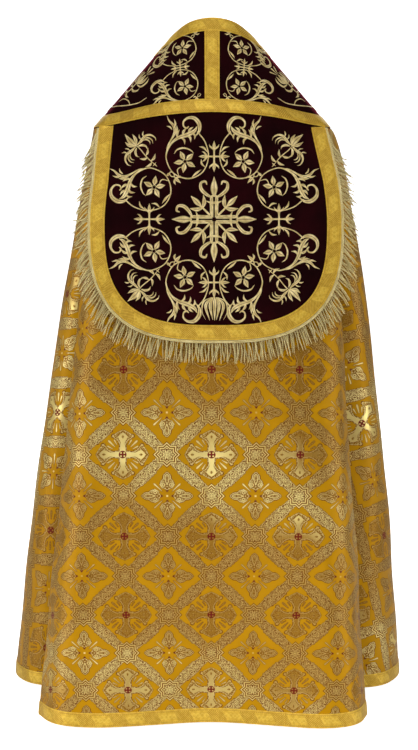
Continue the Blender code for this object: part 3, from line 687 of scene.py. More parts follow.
def brocade_finish():
    """Golden satin with a lattice woven in pale metal thread and outlined in russet.

    Two families of slanting bands meet in eight-pointed stars.  The diamonds between them hold
    a cross and a four-petalled leaf in turn.  Each diamond is folded on its arms and on the
    lines between them, so a figure is drawn once, by how wide it is at each distance.
    """
    finish = Finish("gold_brocade")
    figure, across, down = finish.place("figure")
    cut = finish.place("cut")[0]

    # where a point lies in its diamond, counted in half diamonds from the diamond's middle
    rising, falling = across + down, across - down
    rising_row, falling_row = rising.math("ROUND"), falling.math("ROUND")
    a, b = rising - rising_row, falling - falling_row   # across each family of bands
    pairs = (rising_row + falling_row) * 0.5
    leafy = (pairs - pairs.math("FLOOR")) * 2.0         # 1 where a leaf stands, 0 for a cross
    crossed = 1.0 - leafy
    x, y = (a + b).size(), (a - b).size()
    reach, off = x.larger(y), x.smaller(y)              # along the nearest arm, and beside it
    slant, aslant = (reach + off) * DIAGONAL, (reach - off) * DIAGONAL      # along a diagonal
    turn, aturn = reach * 0.866 + off * 0.5, (reach * 0.5 - off * 0.866).size()   # at 30 degrees

    def inside(edge):
        return edge.step(-SOFT, SOFT)

    def half_width(distance, table):
        """A figure's half width; past its tip it is below zero, so that no line runs on."""
        return distance.profile([(at, half + 0.03 if half else 0.0) for at, half in table]) - 0.03

    # crosses: four flared arms, rays between them, an eye and two beads in each arm's end
    arm = half_width(reach, CROSS_WIDE) - off
    core = half_width(reach, CROSS_CORE) - off
    ray = (half_width(slant, CROSS_RAY) - aslant).larger(half_width(turn, CROSS_SIDE_RAY) - aturn)
    eye = 0.042 - ((reach - 0.425).size() + off)
    bead = 0.046 - (reach - 0.445).hypot(off - 0.225)
    cross = arm.larger(bead)
    bright = inside(core.smaller(eye * -1.0)).larger(inside(ray - 0.004))
    cross_line = cross.line(0.0, 0.036).larger(ray.line(0.0, 0.022)).larger(
        core.line(-0.012, 0.026))
    cross_edge = cross.line(0.030, 0.020)
    cross = inside(cross.larger(ray))

    # leaves: four petals with a bud and two curls in each, and rays between them
    petal = half_width(reach, LEAF_WIDE) - off
    leaf_ray = (half_width(slant, LEAF_RAY) - aslant).larger(
        half_width(turn, LEAF_SIDE_RAY) - aturn)
    bud = half_width(reach, LEAF_BUD) - off
    curl = (reach - LEAF_CURL[0]).hypot(off - LEAF_CURL[1])
    veins = petal.line(0.024, 0.020).larger(bud.line(0.0, 0.024)).larger(curl.line(0.030, 0.022))
    leaf = inside(petal.larger(leaf_ray))
    leaf_line = petal.line(0.0, 0.034).larger(leaf_ray.line(0.0, 0.020)).larger(
        bud.line(-0.020, 0.020)).larger(curl.line(0.010, 0.024))
    leaf_bright = veins.larger(inside(leaf_ray - 0.006) * 0.8).larger(
        reach.step(0.026, 0.014) * 0.7)

    # stars, round the diamonds' corners: two squares, one turned, round an eight-petalled rose
    aside = (1.0 - reach).size()
    star = STAR_HALF - aside.larger(off).smaller((aside + off) * DIAGONAL)
    petals = (off.math("ARCTAN2", aside) * 8.0).math("COSINE") * 0.018
    star_bright = star.line(0.024, 0.026).larger(star.line(0.074, 0.024)).larger(
        (aside.hypot(off) + petals).line(0.062, 0.026))
    star_line = star.line(0.0, 0.024).larger(star.line(0.050, 0.022)).larger(
        star.line(0.098, 0.022))

    # bands, wider beside the stars, with a faintly wavy edge
    rim = 0.5 - a.size().larger(b.size())
    along = a.size().smaller(b.size())
    widening = 0.020 * (1.0 - along.step(0.15, 0.20)) + (along * 95.0).math("SINE") * 0.004
    band = BAND_HALF + widening - rim

    # the small scrolls that fill bands and stars: the winding lines of a noise
    spot = finish.tree.nodes.new("ShaderNodeCombineXYZ")
    for place, value in zip(spot.inputs, (along, rim, leafy)):
        finish.tree.links.new(value.socket, place)
    curls = finish.noise(spot.outputs[0], 26.0, 1.0)
    scrolls = curls.line(0.46, 0.13).larger(curls.line(0.60, 0.09)).step(0.25, 0.70)
    flecks = curls.line(0.40, 0.12).larger(curls.line(0.55, 0.12))

    # where metal thread lies, where it shines and gets a painted glint, its fine pale lines, the
    # russet outlines
    in_star = inside(star)
    in_band = band.step(-0.004, 0.004) * (1.0 - in_star)
    filled = in_band.larger(star.step(0.096, 0.108))
    flared = (cross - bright).larger(0.0) * crossed + leaf * leafy
    metal = (cross * crossed + leaf * leafy).larger(in_band).larger(in_star)
    shine_and_painted_glint = (bright * crossed + leaf_bright * leafy * 0.25).larger(star_bright)
    fine = (scrolls * filled).larger(star_bright * in_star).larger(
        leaf_bright * leafy).larger(cross_edge * crossed).larger(
        curls.line(0.50, 0.10) * flared * 0.70)
    russet = (cross_line * crossed + leaf_line * leafy).larger(
        band.line(0.0, 0.022)).larger(star_line).larger((1.0 - scrolls) * filled * 0.85)
    russet = russet.larger(flecks * flared * 0.60).larger(leaf * leafy * 0.30)

    # ruby silk: a round middle with four pips in each cross, four seeds in each leaf
    pips = inside(0.019 - (x - 0.038).hypot(y - 0.038))
    seed = 0.021 - (reach - 0.125).hypot(off)
    ruby = (x.hypot(y).step(0.098, 0.084) * crossed * (1.0 - pips)).larger(inside(seed) * leafy)

    # painted highlight: some rows and patches of the metal thread are painted paler, as if they
    # caught more light, fewer at the sides and below
    rows = (down * PAINTED_HIGHLIGHT_WAVE[0] + across * PAINTED_HIGHLIGHT_WAVE[1] + PAINTED_HIGHLIGHT_WAVE[2]).wave()
    painted_highlight_patches = finish.noise(figure, 1.7, 3.0)
    sideways = (across - 0.4).size().smaller(1.2)
    painted_highlight = (rows * 0.60 + (painted_highlight_patches - 0.5) * 1.2 + 0.16 - sideways * 0.26).step(-0.15, 0.75)
    painted_highlight = painted_highlight * (1.0 - down.step(1.5, 3.5) * 0.40)

    # threads: the metal weft lies over the orange warp in short uneven floats
    floats = finish.tree.nodes.new("ShaderNodeVectorMath")
    floats.operation = "MULTIPLY"
    finish.tree.links.new(cut, floats.inputs[0])
    floats.inputs[1].default_value = (1.0, 2.6, 1.0)
    float_noise = finish.noise(floats.outputs[0], 420.0, 1.0)
    satin = finish.colour(*SATIN, finish.noise(cut, 14.0, 2.0))
    thread = finish.colour(*METAL_THREAD, float_noise.step(0.40, 0.60))
    colour = finish.colour(satin, thread, metal)
    colour = finish.colour(colour, RUSSET, russet * 0.90)
    # painted highlight: the shining parts and fine lines are painted pale where the highlight is
    # painted, and dull elsewhere
    painted_glint = finish.colour(*THREAD_PAINTED_SHADED_AND_LIT, painted_highlight)
    colour = finish.colour(colour, painted_glint, shine_and_painted_glint * (painted_highlight * 0.60 + 0.20))
    painted_glint = finish.colour(*FINE_LINES_PAINTED_SHADED_AND_LIT, painted_highlight)
    colour = finish.colour(colour, painted_glint, fine * (painted_highlight * 0.26 + 0.66))
    colour = finish.colour(colour, RUBY, ruby)
    finish.set(Base_Color=colour,
               Metallic=(metal * (0.28 + shine_and_painted_glint * painted_highlight * 0.16)) * (1.0 - ruby) + 0.08,
               Roughness=0.44 - metal * 0.05 - shine_and_painted_glint * painted_highlight * 0.06,
               Specular_IOR_Level=0.16, Specular_Tint=(1.0, 0.74, 0.28))
    finish.relief(metal * 0.40 + fine * 0.25 + shine_and_painted_glint * 0.10 + float_noise * 0.25, 0.0005, 0.7)
    return finish.material


brocade = brocade_finish()
DENSE = np.linspace(0.0, SEAM_LINE, 900)
FLAT_CAPE = {side: laid_flat(plain_fall(side * DENSE, np.zeros_like(DENSE)),
                             plain_fall(side * DENSE, np.ones_like(DENSE))) for side in (1, -1)}


def run_along(points):
    """Distance from the first row of points to each row, added up from row to row."""
    steps = np.linalg.norm(np.diff(points, axis=0), axis=-1)
    return np.concatenate([np.zeros_like(steps[:1]), np.cumsum(steps, axis=0)])


def cape_cut(u, plain):
    """Where a grid of the cape lies on its flat cloth, growing outwards from the centre back.

    The strip between seam and hem is laid flat, and each point keeps its share of its column.
    """
    run = run_along(plain)
    share = (run / run[-1])[..., None]
    flats = {}
    for side, (top, hem) in FLAT_CAPE.items():
        ends = [np.stack([np.interp(np.abs(u), DENSE, line[:, k]) for k in (0, 1)], -1)
                for line in (top, hem)]
        flats[side] = ends[0] + (ends[1] - ends[0]) * share
    return np.where(u[..., None] >= 0, flats[1], flats[-1])


def cape_columns(first, last, step=0.06):
    """Lines of the grid: even steps, and closer ones round each sharp turn."""
    columns = [np.arange(first, last, step), [last]]
    for line in range(int(np.floor(first)), int(np.ceil(last)) + 1):
        reach = ROUNDS[np.clip(line + len(LEFT_FOLDS), 0, len(ROUNDS) - 1)]
        if reach < 0.31:
            columns.append(line + np.linspace(-reach, reach, 15))
    columns = np.unique(np.round(np.concatenate(columns), 3))
    return columns[(columns >= first) & (columns <= last)]


def cape_grid(columns, levels):
    """The cape's inner face with its waves, its places on the flat cloth, and its fold lines."""
    u, s = np.meshgrid(columns, levels)
    plain = plain_fall(u, s)
    return lifted(plain, waves(u, s)), cape_cut(u, plain), u


CAPE_LEVELS = np.concatenate([np.linspace(0.001, 0.1, 20)[:-1], np.linspace(0.1, 1.0, 126)])
JOIN_GAP = 0.002          # in fold lines, at each end of a panel
for name, first, last, *_ in PANELS:
    under, flat, u = cape_grid(cape_columns(first + JOIN_GAP, last - JOIN_GAP), CAPE_LEVELS)
    # the flat cut grows outwards on both sides, so the right side's is turned over
    side = np.stack([np.where(u < 0, -1.0, 1.0), np.ones_like(u)], -1)
    repeats = side_repeats(flat, GRAIN[name]) if name in GRAIN else back_repeats(flat)
    panel = cloth("brocade_" + name, under, lifted(under, BROCADE_WALL),
                  (brocade, lining, brocade), cut=flat * side, figure=repeats * side)
    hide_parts("body_" + name)


# ---- the galloons ------------------------------------------------------------------------------
# Flat braid, 30 mm wide, woven of gilt thread: two corded edges, a row of stitches inside each,
# and a field where slanting ribs and two crossing vines take turns.  It covers the neck and
# front edges, the centre back seam, the hood's seam and edge, the inner seams and the hem.

GALLOON_WIDTH = 0.030
GALLOON_WALL = 0.0012
ORPHREY_WIDTH = 0.215     # of the band, from its edge to its seam
EDGE_SHARE = GALLOON_WIDTH / ORPHREY_WIDTH
ON_VELVET = VELVET_WALL + GAP
PAST_HOOD = 3.35          # the station where the hood's braid ends and the inner braids start
BLOCK = 0.066             # length of braid with ribs and with figures together
BRAID_ROWS = 9            # points across a braid
EDGE_WALL = 0.45          # share of the wall that is left at a braid's very edge
# The cord along each edge: its place and half width in half braids, and how high it stands.
CORD_AT, CORD_HALF, CORD_RISE = 0.93, 0.06, 0.00035
HEM_LEVEL = 0.977         # share of the drop at which the hem's braid starts


def galloon_finish():
    """Gilt braid, drawn on how far along and how far across the braid a point lies."""
    finish = Finish("gold_galloon")
    where, along, across = finish.place("braid")
    middle = across - GALLOON_WIDTH / 2
    side = middle.size()
    cycle = (along + middle * 0.5) / BLOCK
    part = (cycle - cycle.math("FLOOR") - 0.5).size()
    ribs = part.step(0.25, 0.27)                        # 1 where the field is ribbed
    rib = (along - middle * 1.1).wave(0.0046)
    weave = along.wave(0.0024) * across.wave(0.0020)
    bend = along.wave(0.0165) * 0.0042                  # two crossing vines make the figures
    vine = (middle - bend).size().step(0.0016, 0.0006).larger(
        (middle + bend).size().step(0.0016, 0.0006))
    cord = side.step(0.0122, 0.0126)
    seam = side.line(0.0117, 0.0012)
    stitches = side.line(0.0103, 0.0016) * along.wave(0.0042).step(-0.2, 0.3)
    field = side.step(0.0100, 0.0094)
    shade = finish.noise(where, 130.0, 3.0)
    base = finish.colour((0.49, 0.292, 0.025), (0.62, 0.395, 0.046), shade.step(0.3, 0.7))
    base = finish.colour(base, (0.25, 0.125, 0.012), (rib * 0.5 + 0.5).step(0.42, 0.72) * ribs
                         * field * 0.72)
    base = finish.colour(base, (0.68, 0.47, 0.085), vine * (1.0 - ribs) * field * 0.5)
    base = finish.colour(base, (0.22, 0.10, 0.012), (seam * 0.85).larger(stitches * 0.85))
    finish.set(Base_Color=base, Metallic=0.35, Roughness=0.42, Specular_IOR_Level=0.45,
               Specular_Tint=(1.0, 0.82, 0.42))
    finish.relief((rib * 0.3 * ribs * field + weave * 0.15 + vine * 0.25 + cord * 0.3
                   - seam * 0.4 - stitches * 0.4) * 0.5 + 0.5, 0.0007, 0.8)
    return finish.material


galloon = galloon_finish()


def braid_face(share):
    """How far the braid's face stands over its back at a share of its width.

    The wall thins at the very edge, and each cord is a narrow bell just inside it.
    """
    side = np.abs(share - 0.5) * 2
    cord = np.exp(-((side - CORD_AT) / CORD_HALF) ** 2) * CORD_RISE
    return GALLOON_WALL * np.clip((1 - side) / 0.03 + EDGE_WALL, EDGE_WALL, 1.0) + cord


def sew_braid(name, node, under, along, across):
    """A braid on a grid of points under it; along and across are places on the flat braid."""
    over = lifted(under, braid_face(across / GALLOON_WIDTH))
    braid = cloth(name, under, over, (galloon,), braid=np.stack([along, across], -1))
    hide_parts(node)
    return braid


def along_and_across(strip):
    """Places on the flat braid of a grid whose rows run along it.

    The distance along its middle row, and even steps across its width.
    """
    along = run_along(strip[len(strip) // 2])
    return np.broadcast_arrays(along, np.linspace(0, GALLOON_WIDTH, len(strip))[:, None])


def band_strip(first, last, columns, low, high):
    """A strip of the velvet band's face between two shares of its width, and its flat places."""
    t, w = np.meshgrid(np.linspace(first, last, columns), np.linspace(low, high, BRAID_ROWS))
    strip = lifted(velvet_band(t, w), ON_VELVET)
    return strip, *along_and_across(strip)


sew_braid("galloon_neck_and_fronts", "galloon_edge",
          *band_strip(-LAST_STATION, LAST_STATION, 560, 0.0, EDGE_SHARE))
for name, first, last in (("left", PAST_HOOD + 0.01, LAST_STATION),
                          ("right", -LAST_STATION, -PAST_HOOD - 0.01)):
    strip, along, across = band_strip(first, last, 240, 1 - EDGE_SHARE, TO_SEAM)
    sew_braid("galloon_inner_seam_" + name, "galloon_inner_" + name, strip, along,
              GALLOON_WIDTH - across)

# The strip up the centre back: columns across it, rows down the velvet.
drop = np.linspace(EDGE_SHARE + 0.001, 1 - EDGE_SHARE - 0.0005, 60)
x, w = np.meshgrid(np.linspace(-GALLOON_WIDTH / 2, GALLOON_WIDTH / 2, BRAID_ROWS), drop)
at_side = velvet_band(np.ones_like(w), w)[..., 0]
strip = lifted(velvet_band(x / at_side, w), ON_VELVET)
along = np.broadcast_to(run_along(strip[:, BRAID_ROWS // 2])[:, None], x.shape)
sew_braid("galloon_centre_seam", "galloon_centre_back", strip, along, x + GALLOON_WIDTH / 2)

# The hem's braid follows every wave of the cape.
for name, first, last, cut_from, area, bands in PANELS:
    columns = cape_columns(first + JOIN_GAP, last - JOIN_GAP, 0.03)
    under = cape_grid(columns, np.linspace(HEM_LEVEL, 1.0, BRAID_ROWS))[0]
    strip = lifted(under, BROCADE_WALL + GAP)
    hem_braid = sew_braid("galloon_on_hem_" + name, "galloon_hem_" + name, strip,
                          *along_and_across(strip))


# ---- the hood ----------------------------------------------------------------------------------
# A shield of stiffened velvet that hangs from the seam across the shoulders.  Its galloon runs
# down one side, round the bottom and up the other; another lies over its seam.

HOOD_HALF_WIDTH = 0.2570  # at its widest
HOOD_WIDE_Z = -0.4125     # where it is widest
HOOD_BOTTOM_Z = -0.6530
HOOD_CORNER_Z = -0.2325   # its top corners
HOOD_ROUND = 2.85         # power of its outline: 2 is an ellipse, and more is squarer
HOOD_TURN = 0.56          # share of the way from the bottom to a corner that is curved
HOOD_TAPER = 0.025        # how far each side draws in towards its top corner
HOOD_END_POWER = 6.0      # how late the sides' ends are drawn onto the top edge
HOOD_SHIFT = -0.0078      # how far it hangs to the wearer's right
HOOD_ARCH = 0.0370        # how much lower its seam lies at the corners than in the middle
HOOD_TOP_DEPTH = 0.1550   # how far back the middle of its top edge lies
HOOD_SLOPE = 0.181        # how much further back it lies for each metre down
HOOD_CLEAR = 0.010        # how far it stands off the cape
HOOD_BEND = 0.0545        # how far its sides come forward: this at the top, fading downwards,
HOOD_LAST_BEND = 0.006    # and this all the way down
HOOD_BEND_POWER = 2.2     # how late across its width they do
TUCK = 0.007              # how far the hood's top edge goes up under the braid on its seam
CLOSE_ROWS = 0.08         # share of the outline from the bottom up in which rows lie closer
OVERLAY_CLEAR = 0.0008    # how far the braid over the seam stands off the hood's own braid
OVERLAY_ENDS = 0.55       # stations over which its ends come down onto the yoke
NEAR = 1e-3               # a step small enough to read a slope from


def hood_depth(x, z):
    """How far back the hood's inner face lies.

    It follows the yoke's bend at the top seam, flattens towards the bottom and slopes with the
    back panel under it.
    """
    top_z = SEAM[0, 2] - HOOD_ARCH * (x / SEAM[3, 0]) ** 2
    fall = top_z - z
    drop = fall / (top_z - HOOD_BOTTOM_Z)
    bend = HOOD_BEND * np.clip(1 - drop, 0, 1) + HOOD_LAST_BEND
    stand = HOOD_CLEAR * np.clip(3 * drop, 0, 1) + HOOD_SLOPE * np.maximum(fall, 0)
    ripple = 0.0012 * np.sin(23 * x + 7 * z + 0.5) * np.sin(11 * z + 0.4) * np.clip(4 * drop, 0, 1)
    return HOOD_TOP_DEPTH + stand + ripple - bend * np.abs(x / SEAM[3, 0]) ** HOOD_BEND_POWER


def hood_edge(a):
    """The hood's outline (x, z): a runs from -1, the left top corner, by 0, the bottom, to 1.

    Below the widest place it is a superellipse; above, the sides draw in towards the corners.
    """
    side = -np.sign(a)
    turn = np.clip(np.abs(a) / HOOD_TURN, 0, 1) * np.pi / 2
    up = np.clip((np.abs(a) - HOOD_TURN) / (1 - HOOD_TURN), 0, 1)
    low = (HOOD_BOTTOM_Z - HOOD_WIDE_Z) * np.cos(turn) ** (2 / HOOD_ROUND)
    z = HOOD_WIDE_Z + low + (HOOD_CORNER_Z - HOOD_WIDE_Z) * up
    x = side * (HOOD_HALF_WIDTH * np.sin(turn) ** (2 / HOOD_ROUND) - HOOD_TAPER * up ** 1.5)
    return x + HOOD_SHIFT * np.clip((HOOD_CORNER_Z - z) / 0.1, 0, 1), z


def hood_top(x):
    """Height of the hood's top edge, which lies along the velvet's seam."""
    return np.interp(np.abs(x), SEAM[:5, 0], SEAM[:5, 2]) - 2 * GAP


def hood_ring(a, inset, tuck=0.0):
    """The outline moved in (or out, below zero) by a distance, as points of the hood.

    Its two ends are drawn up or down to the hood's top edge, and up by the tuck.
    """
    x0, z0 = hood_edge(np.clip(a - NEAR, -1, 1))
    x1, z1 = hood_edge(np.clip(a + NEAR, -1, 1))
    x, z = hood_edge(a)
    length = np.hypot(x1 - x0, z1 - z0)
    x = x + inset * (z1 - z0) / length
    z = z - inset * (x1 - x0) / length
    up = np.clip((np.abs(a) - HOOD_TURN) / (1 - HOOD_TURN), 0, 1)
    z = z + (hood_top(x) + tuck - HOOD_CORNER_Z) * up ** HOOD_END_POWER
    return np.stack([x, hood_depth(x, z), z], axis=-1)


def hood_normal(points):
    """Unit normal of the hood's face, pointing back."""
    x, z = points[..., 0], points[..., 2]
    slope_x = (hood_depth(x + NEAR, z) - hood_depth(x - NEAR, z)) / (2 * NEAR)
    slope_z = (hood_depth(x, z + NEAR) - hood_depth(x, z - NEAR)) / (2 * NEAR)
    normal = np.stack([-slope_x, np.ones_like(x), -slope_z], axis=-1)
    return normal / np.linalg.norm(normal, axis=-1, keepdims=True)


# The shield: straight rows from the outline's right side to its left one, down to the bottom.
# Towards the top they take the shape of the top edge.
q = np.concatenate([np.linspace(1.0, CLOSE_ROWS, 150),
                    CLOSE_ROWS * np.linspace(1, 0.04, 18)[1:] ** 2])
left, right = hood_ring(-q, 0.0, TUCK), hood_ring(q, 0.0, TUCK)
share = np.linspace(0, 1, 121)
shield = right[:, None] * (1 - share[None, :, None]) + left[:, None] * share[None, :, None]
rise = np.clip(2 * q - 1, 0, 1)[:, None] ** 1.3
top = hood_top(shield[..., 0]) + TUCK
flat_top = top[:, :1] * (1 - share) + top[:, -1:] * share
shield[..., 2] += (top - flat_top) * rise
shield[..., 1] = hood_depth(shield[..., 0], shield[..., 2])
shield_piece = cloth("hood_shield", shield, shield + hood_normal(shield) * VELVET_WALL,
                     (velvet, lining, velvet), cut=shield[..., [0, 2]])
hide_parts("hood_velvet")

round_hood = np.linspace(-1.0, 1.0, 420)[::-1]
rings = np.stack([hood_ring(round_hood, inset, TUCK * 0.5)
                  for inset in np.linspace(GALLOON_WIDTH, 0.0, BRAID_ROWS)])
strip = rings + hood_normal(rings) * ON_VELVET
hood_braid = sew_braid("galloon_round_hood", "hood_galloon", strip, *along_and_across(strip))

# The braid over the hood's seam: its upper edge lies on the yoke, its lower edge on the hood.
t, w = np.meshgrid(np.linspace(-PAST_HOOD, PAST_HOOD, 240),
                   np.linspace(1 - EDGE_SHARE, TO_SEAM, BRAID_ROWS))
plain = velvet_band(t, w)
over_hood = hood_depth(plain[..., 0], plain[..., 2]) + ON_VELVET + GALLOON_WALL + OVERLAY_CLEAR
lean = np.maximum(w - 1 + EDGE_SHARE, 0) / EDGE_SHARE
on_hood = np.clip((PAST_HOOD - np.abs(t)) / OVERLAY_ENDS, 0, 1)
strip = lifted(plain, ON_VELVET)
strip[..., 1] += np.maximum(over_hood - strip[..., 1], 0) * on_hood * lean ** 1.3
sew_braid("galloon_over_hood_seam", "galloon_hood_line", strip, *along_and_across(strip))


# ---- the fringe --------------------------------------------------------------------------------
# A narrow header braid of two pale cords, sewn round the hood's edge.  From it hang two layers
# of loose twisted strands, 40 mm long.

HEADER_WIDTH = 0.006
HEADER_ROWS = 9           # points across the header braid
# Over the hood's inner face: the header's back, its face, and how much its two cords add.
HEADER_BACK, HEADER_FACE, HEADER_CORD = 0.0004, 0.0022, 0.0013
FRINGE_LENGTH = 0.040
STRAND_STEP = 0.0050      # from one strand to the next
STRAND_RADIUS = 0.00125
STRAND_POINTS = 9         # places along a strand, and corners round it
STRAND_SIDES = 4
STEEPNESS = 0.80          # how much a strand's weight turns it down from the way the edge faces
CORNER_STEEPNESS = 1.6    # how much more it does at the hood's top corners
UNEVEN_STEEPNESS = 0.22
STRAY = (0.13, 0.05)      # how far a strand strays along the edge, and out from the hood
UNEVEN_LENGTH = 0.06
BOW = 0.0016              # how far a strand bows sideways
SAG = 0.007               # how far the tip of a strand that stands out sinks


def pale_thread_finish(name, turns):
    """Pale greenish gold thread; turns is how many twists show in a metre of strand."""
    finish = Finish(name)
    where, along, round_ = finish.place("strand")
    twist = (along * turns + round_).wave() * 0.5 + 0.5
    shade = finish.noise(where, 35.0, 2.0)
    base = finish.colour((0.50, 0.36, 0.085), (1.0, 0.90, 0.50), shade.step(0.42, 0.58))
    base = finish.colour((0.20, 0.11, 0.016), base, twist * 0.55 + 0.45)
    finish.set(Base_Color=base, Metallic=0.35, Roughness=0.32, Specular_IOR_Level=0.5)
    finish.relief(twist, 0.0004, 0.6)
    return finish.material


strand_gold = pale_thread_finish("pale_fringe_thread", 300.0)
header_gold = pale_thread_finish("pale_header_braid", 420.0)
insets = np.linspace(-0.0004, -HEADER_WIDTH, HEADER_ROWS)     # outwards, clear of the galloon
rings = np.stack([hood_ring(round_hood, inset) for inset in insets])
share = np.linspace(0, 1, HEADER_ROWS)[:, None]
face = HEADER_FACE + HEADER_CORD * np.abs(np.sin(2 * np.pi * share)) ** 0.7
over = rings + hood_normal(rings) * face[..., None]
under = rings + hood_normal(rings) * HEADER_BACK
spots = np.stack(np.broadcast_arrays(run_along(rings[HEADER_ROWS // 2]), share), -1)
header = cloth("fringe_header_braid", under, over, (header_gold,), strand=spots)
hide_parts("fringe_header")


def edge_by_length(step):
    """Values of a at even steps along the hood's edge."""
    dense = np.linspace(-1.0, 1.0, 3000)
    run = run_along(hood_ring(dense, -HEADER_WIDTH))
    return np.interp(np.arange(step, run[-1] - step, step), run, dense)


def hanging_strands(a, depth, seed):
    """Centre lines and lengths of strands that hang from the header at the values a.

    They start so far out from the hood's inner face.  Each leaves the edge outwards, is turned
    down by its weight, sags as f squared, bows as a sine and strays a little, by random draws.
    """
    draw = np.random.default_rng(seed)
    count = len(a)
    back, down = np.array([0.0, 1.0, 0.0]), np.array([0.0, 0.0, -1.0])
    root = hood_ring(a, -HEADER_WIDTH + 0.0012)
    root = root + hood_normal(root) * depth
    out = hood_ring(a, -HEADER_WIDTH - 0.02) - hood_ring(a, -HEADER_WIDTH)
    out /= np.linalg.norm(out, axis=-1, keepdims=True)
    sideways = np.cross(out, back)
    corner = np.clip((np.abs(a) - 0.88) / 0.12, 0, 1)
    steep = (STEEPNESS + UNEVEN_STEEPNESS * draw.standard_normal(count)
             + CORNER_STEEPNESS * corner ** 1.5)
    way = out + down * (steep * np.abs(out[:, 0]) ** 0.8)[:, None]
    way += sideways * (STRAY[0] * draw.standard_normal(count))[:, None]
    way += back * (STRAY[1] * draw.standard_normal(count))[:, None]
    way /= np.linalg.norm(way, axis=-1, keepdims=True)
    length = FRINGE_LENGTH * np.clip(1 + UNEVEN_LENGTH * draw.standard_normal(count), 0.82, 1.08)
    f = np.linspace(0, 1, STRAND_POINTS)
    bow = draw.standard_normal((count, 2)) * BOW
    line = root[:, None] + way[:, None] * (length[:, None] * f)[..., None]
    line = line + down * (SAG * np.abs(out[:, :1, None]) * f[:, None] ** 2)
    line = line + sideways[:, None] * (bow[:, :1] * np.sin(np.pi * 1.3 * f))[..., None]
    line = line + back * (bow[:, 1:] * np.sin(np.pi * f))[..., None]
    return line, length


def tube_faces(here):
    """Faces of a closed tube round its rings of points; here numbers them, a row to a ring."""
    beside = np.roll(here, -1, axis=1)
    sides = np.stack([here[:-1], here[1:], beside[1:], beside[:-1]], -1)
    return sides.reshape(-1, 4).tolist() + [here[0].tolist(), here[-1, ::-1].tolist()]


def twisted_cords(name, line, length, radius):
    """A closed cord round each centre line: a square section that turns as it goes down.

    It is fullest a little past its middle and drawn in at its tip.
    """
    count, points = line.shape[:2]
    ahead = np.gradient(line, axis=1)
    ahead /= np.linalg.norm(ahead, axis=-1, keepdims=True)
    across = np.cross(ahead, np.array([0.0, 1.0, 0.0]))
    across /= np.linalg.norm(across, axis=-1, keepdims=True)
    back = np.cross(across, ahead)
    f = np.linspace(0, 1, points)
    thick = radius * (0.8 + 0.35 * np.sin(np.pi * np.clip(f * 1.1, 0, 1)) - 0.25 * (f > 0.99))
    angle = 2 * np.pi * np.arange(STRAND_SIDES) / STRAND_SIDES
    turn = angle[None, None] + (f * 5.0)[None, :, None] + np.arange(count)[:, None, None]
    ring = line[:, :, None] + thick[None, :, None, None] * (
        across[:, :, None] * np.cos(turn)[..., None] + back[:, :, None] * np.sin(turn)[..., None])
    quads = np.array(tube_faces(np.arange(points * STRAND_SIDES).reshape(points, -1)))
    of_cord = np.arange(count)[:, None, None]
    faces = (quads[None] + of_cord * points * STRAND_SIDES).reshape(-1, 4)
    down = length[:, None, None] * f[None, :, None] + of_cord * 0.37
    spots = np.stack(np.broadcast_arrays(down, (angle / (2 * np.pi))[None, None]), -1)
    return piece(name, ring, faces.tolist(), (strand_gold,), strand=spots)


even = edge_by_length(STRAND_STEP)
layers = [hanging_strands(even, 0.0006, 11), hanging_strands(even[1:-1:3] + 0.0020, 0.0026, 12)]
line, length = (np.concatenate(parts) for parts in zip(*layers))
fringe = twisted_cords("fringe_strands", line, length, STRAND_RADIUS)
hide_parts("hood_fringe")


# ---- the embroidery ----------------------------------------------------------------------------
# Raised satin stitch in antique gold thread: every cord, leaf and petal is its own padded
# stroke.  Scrolls with a five-petalled flower turn round the hood, and the same scrolls, a
# small cross and an open bloom follow one another down both bands.


def pair(*stroke):
    """A stroke and its mirror image in the upright line."""
    return stroke, tuple((-x, y, width) for x, y, width in stroke)


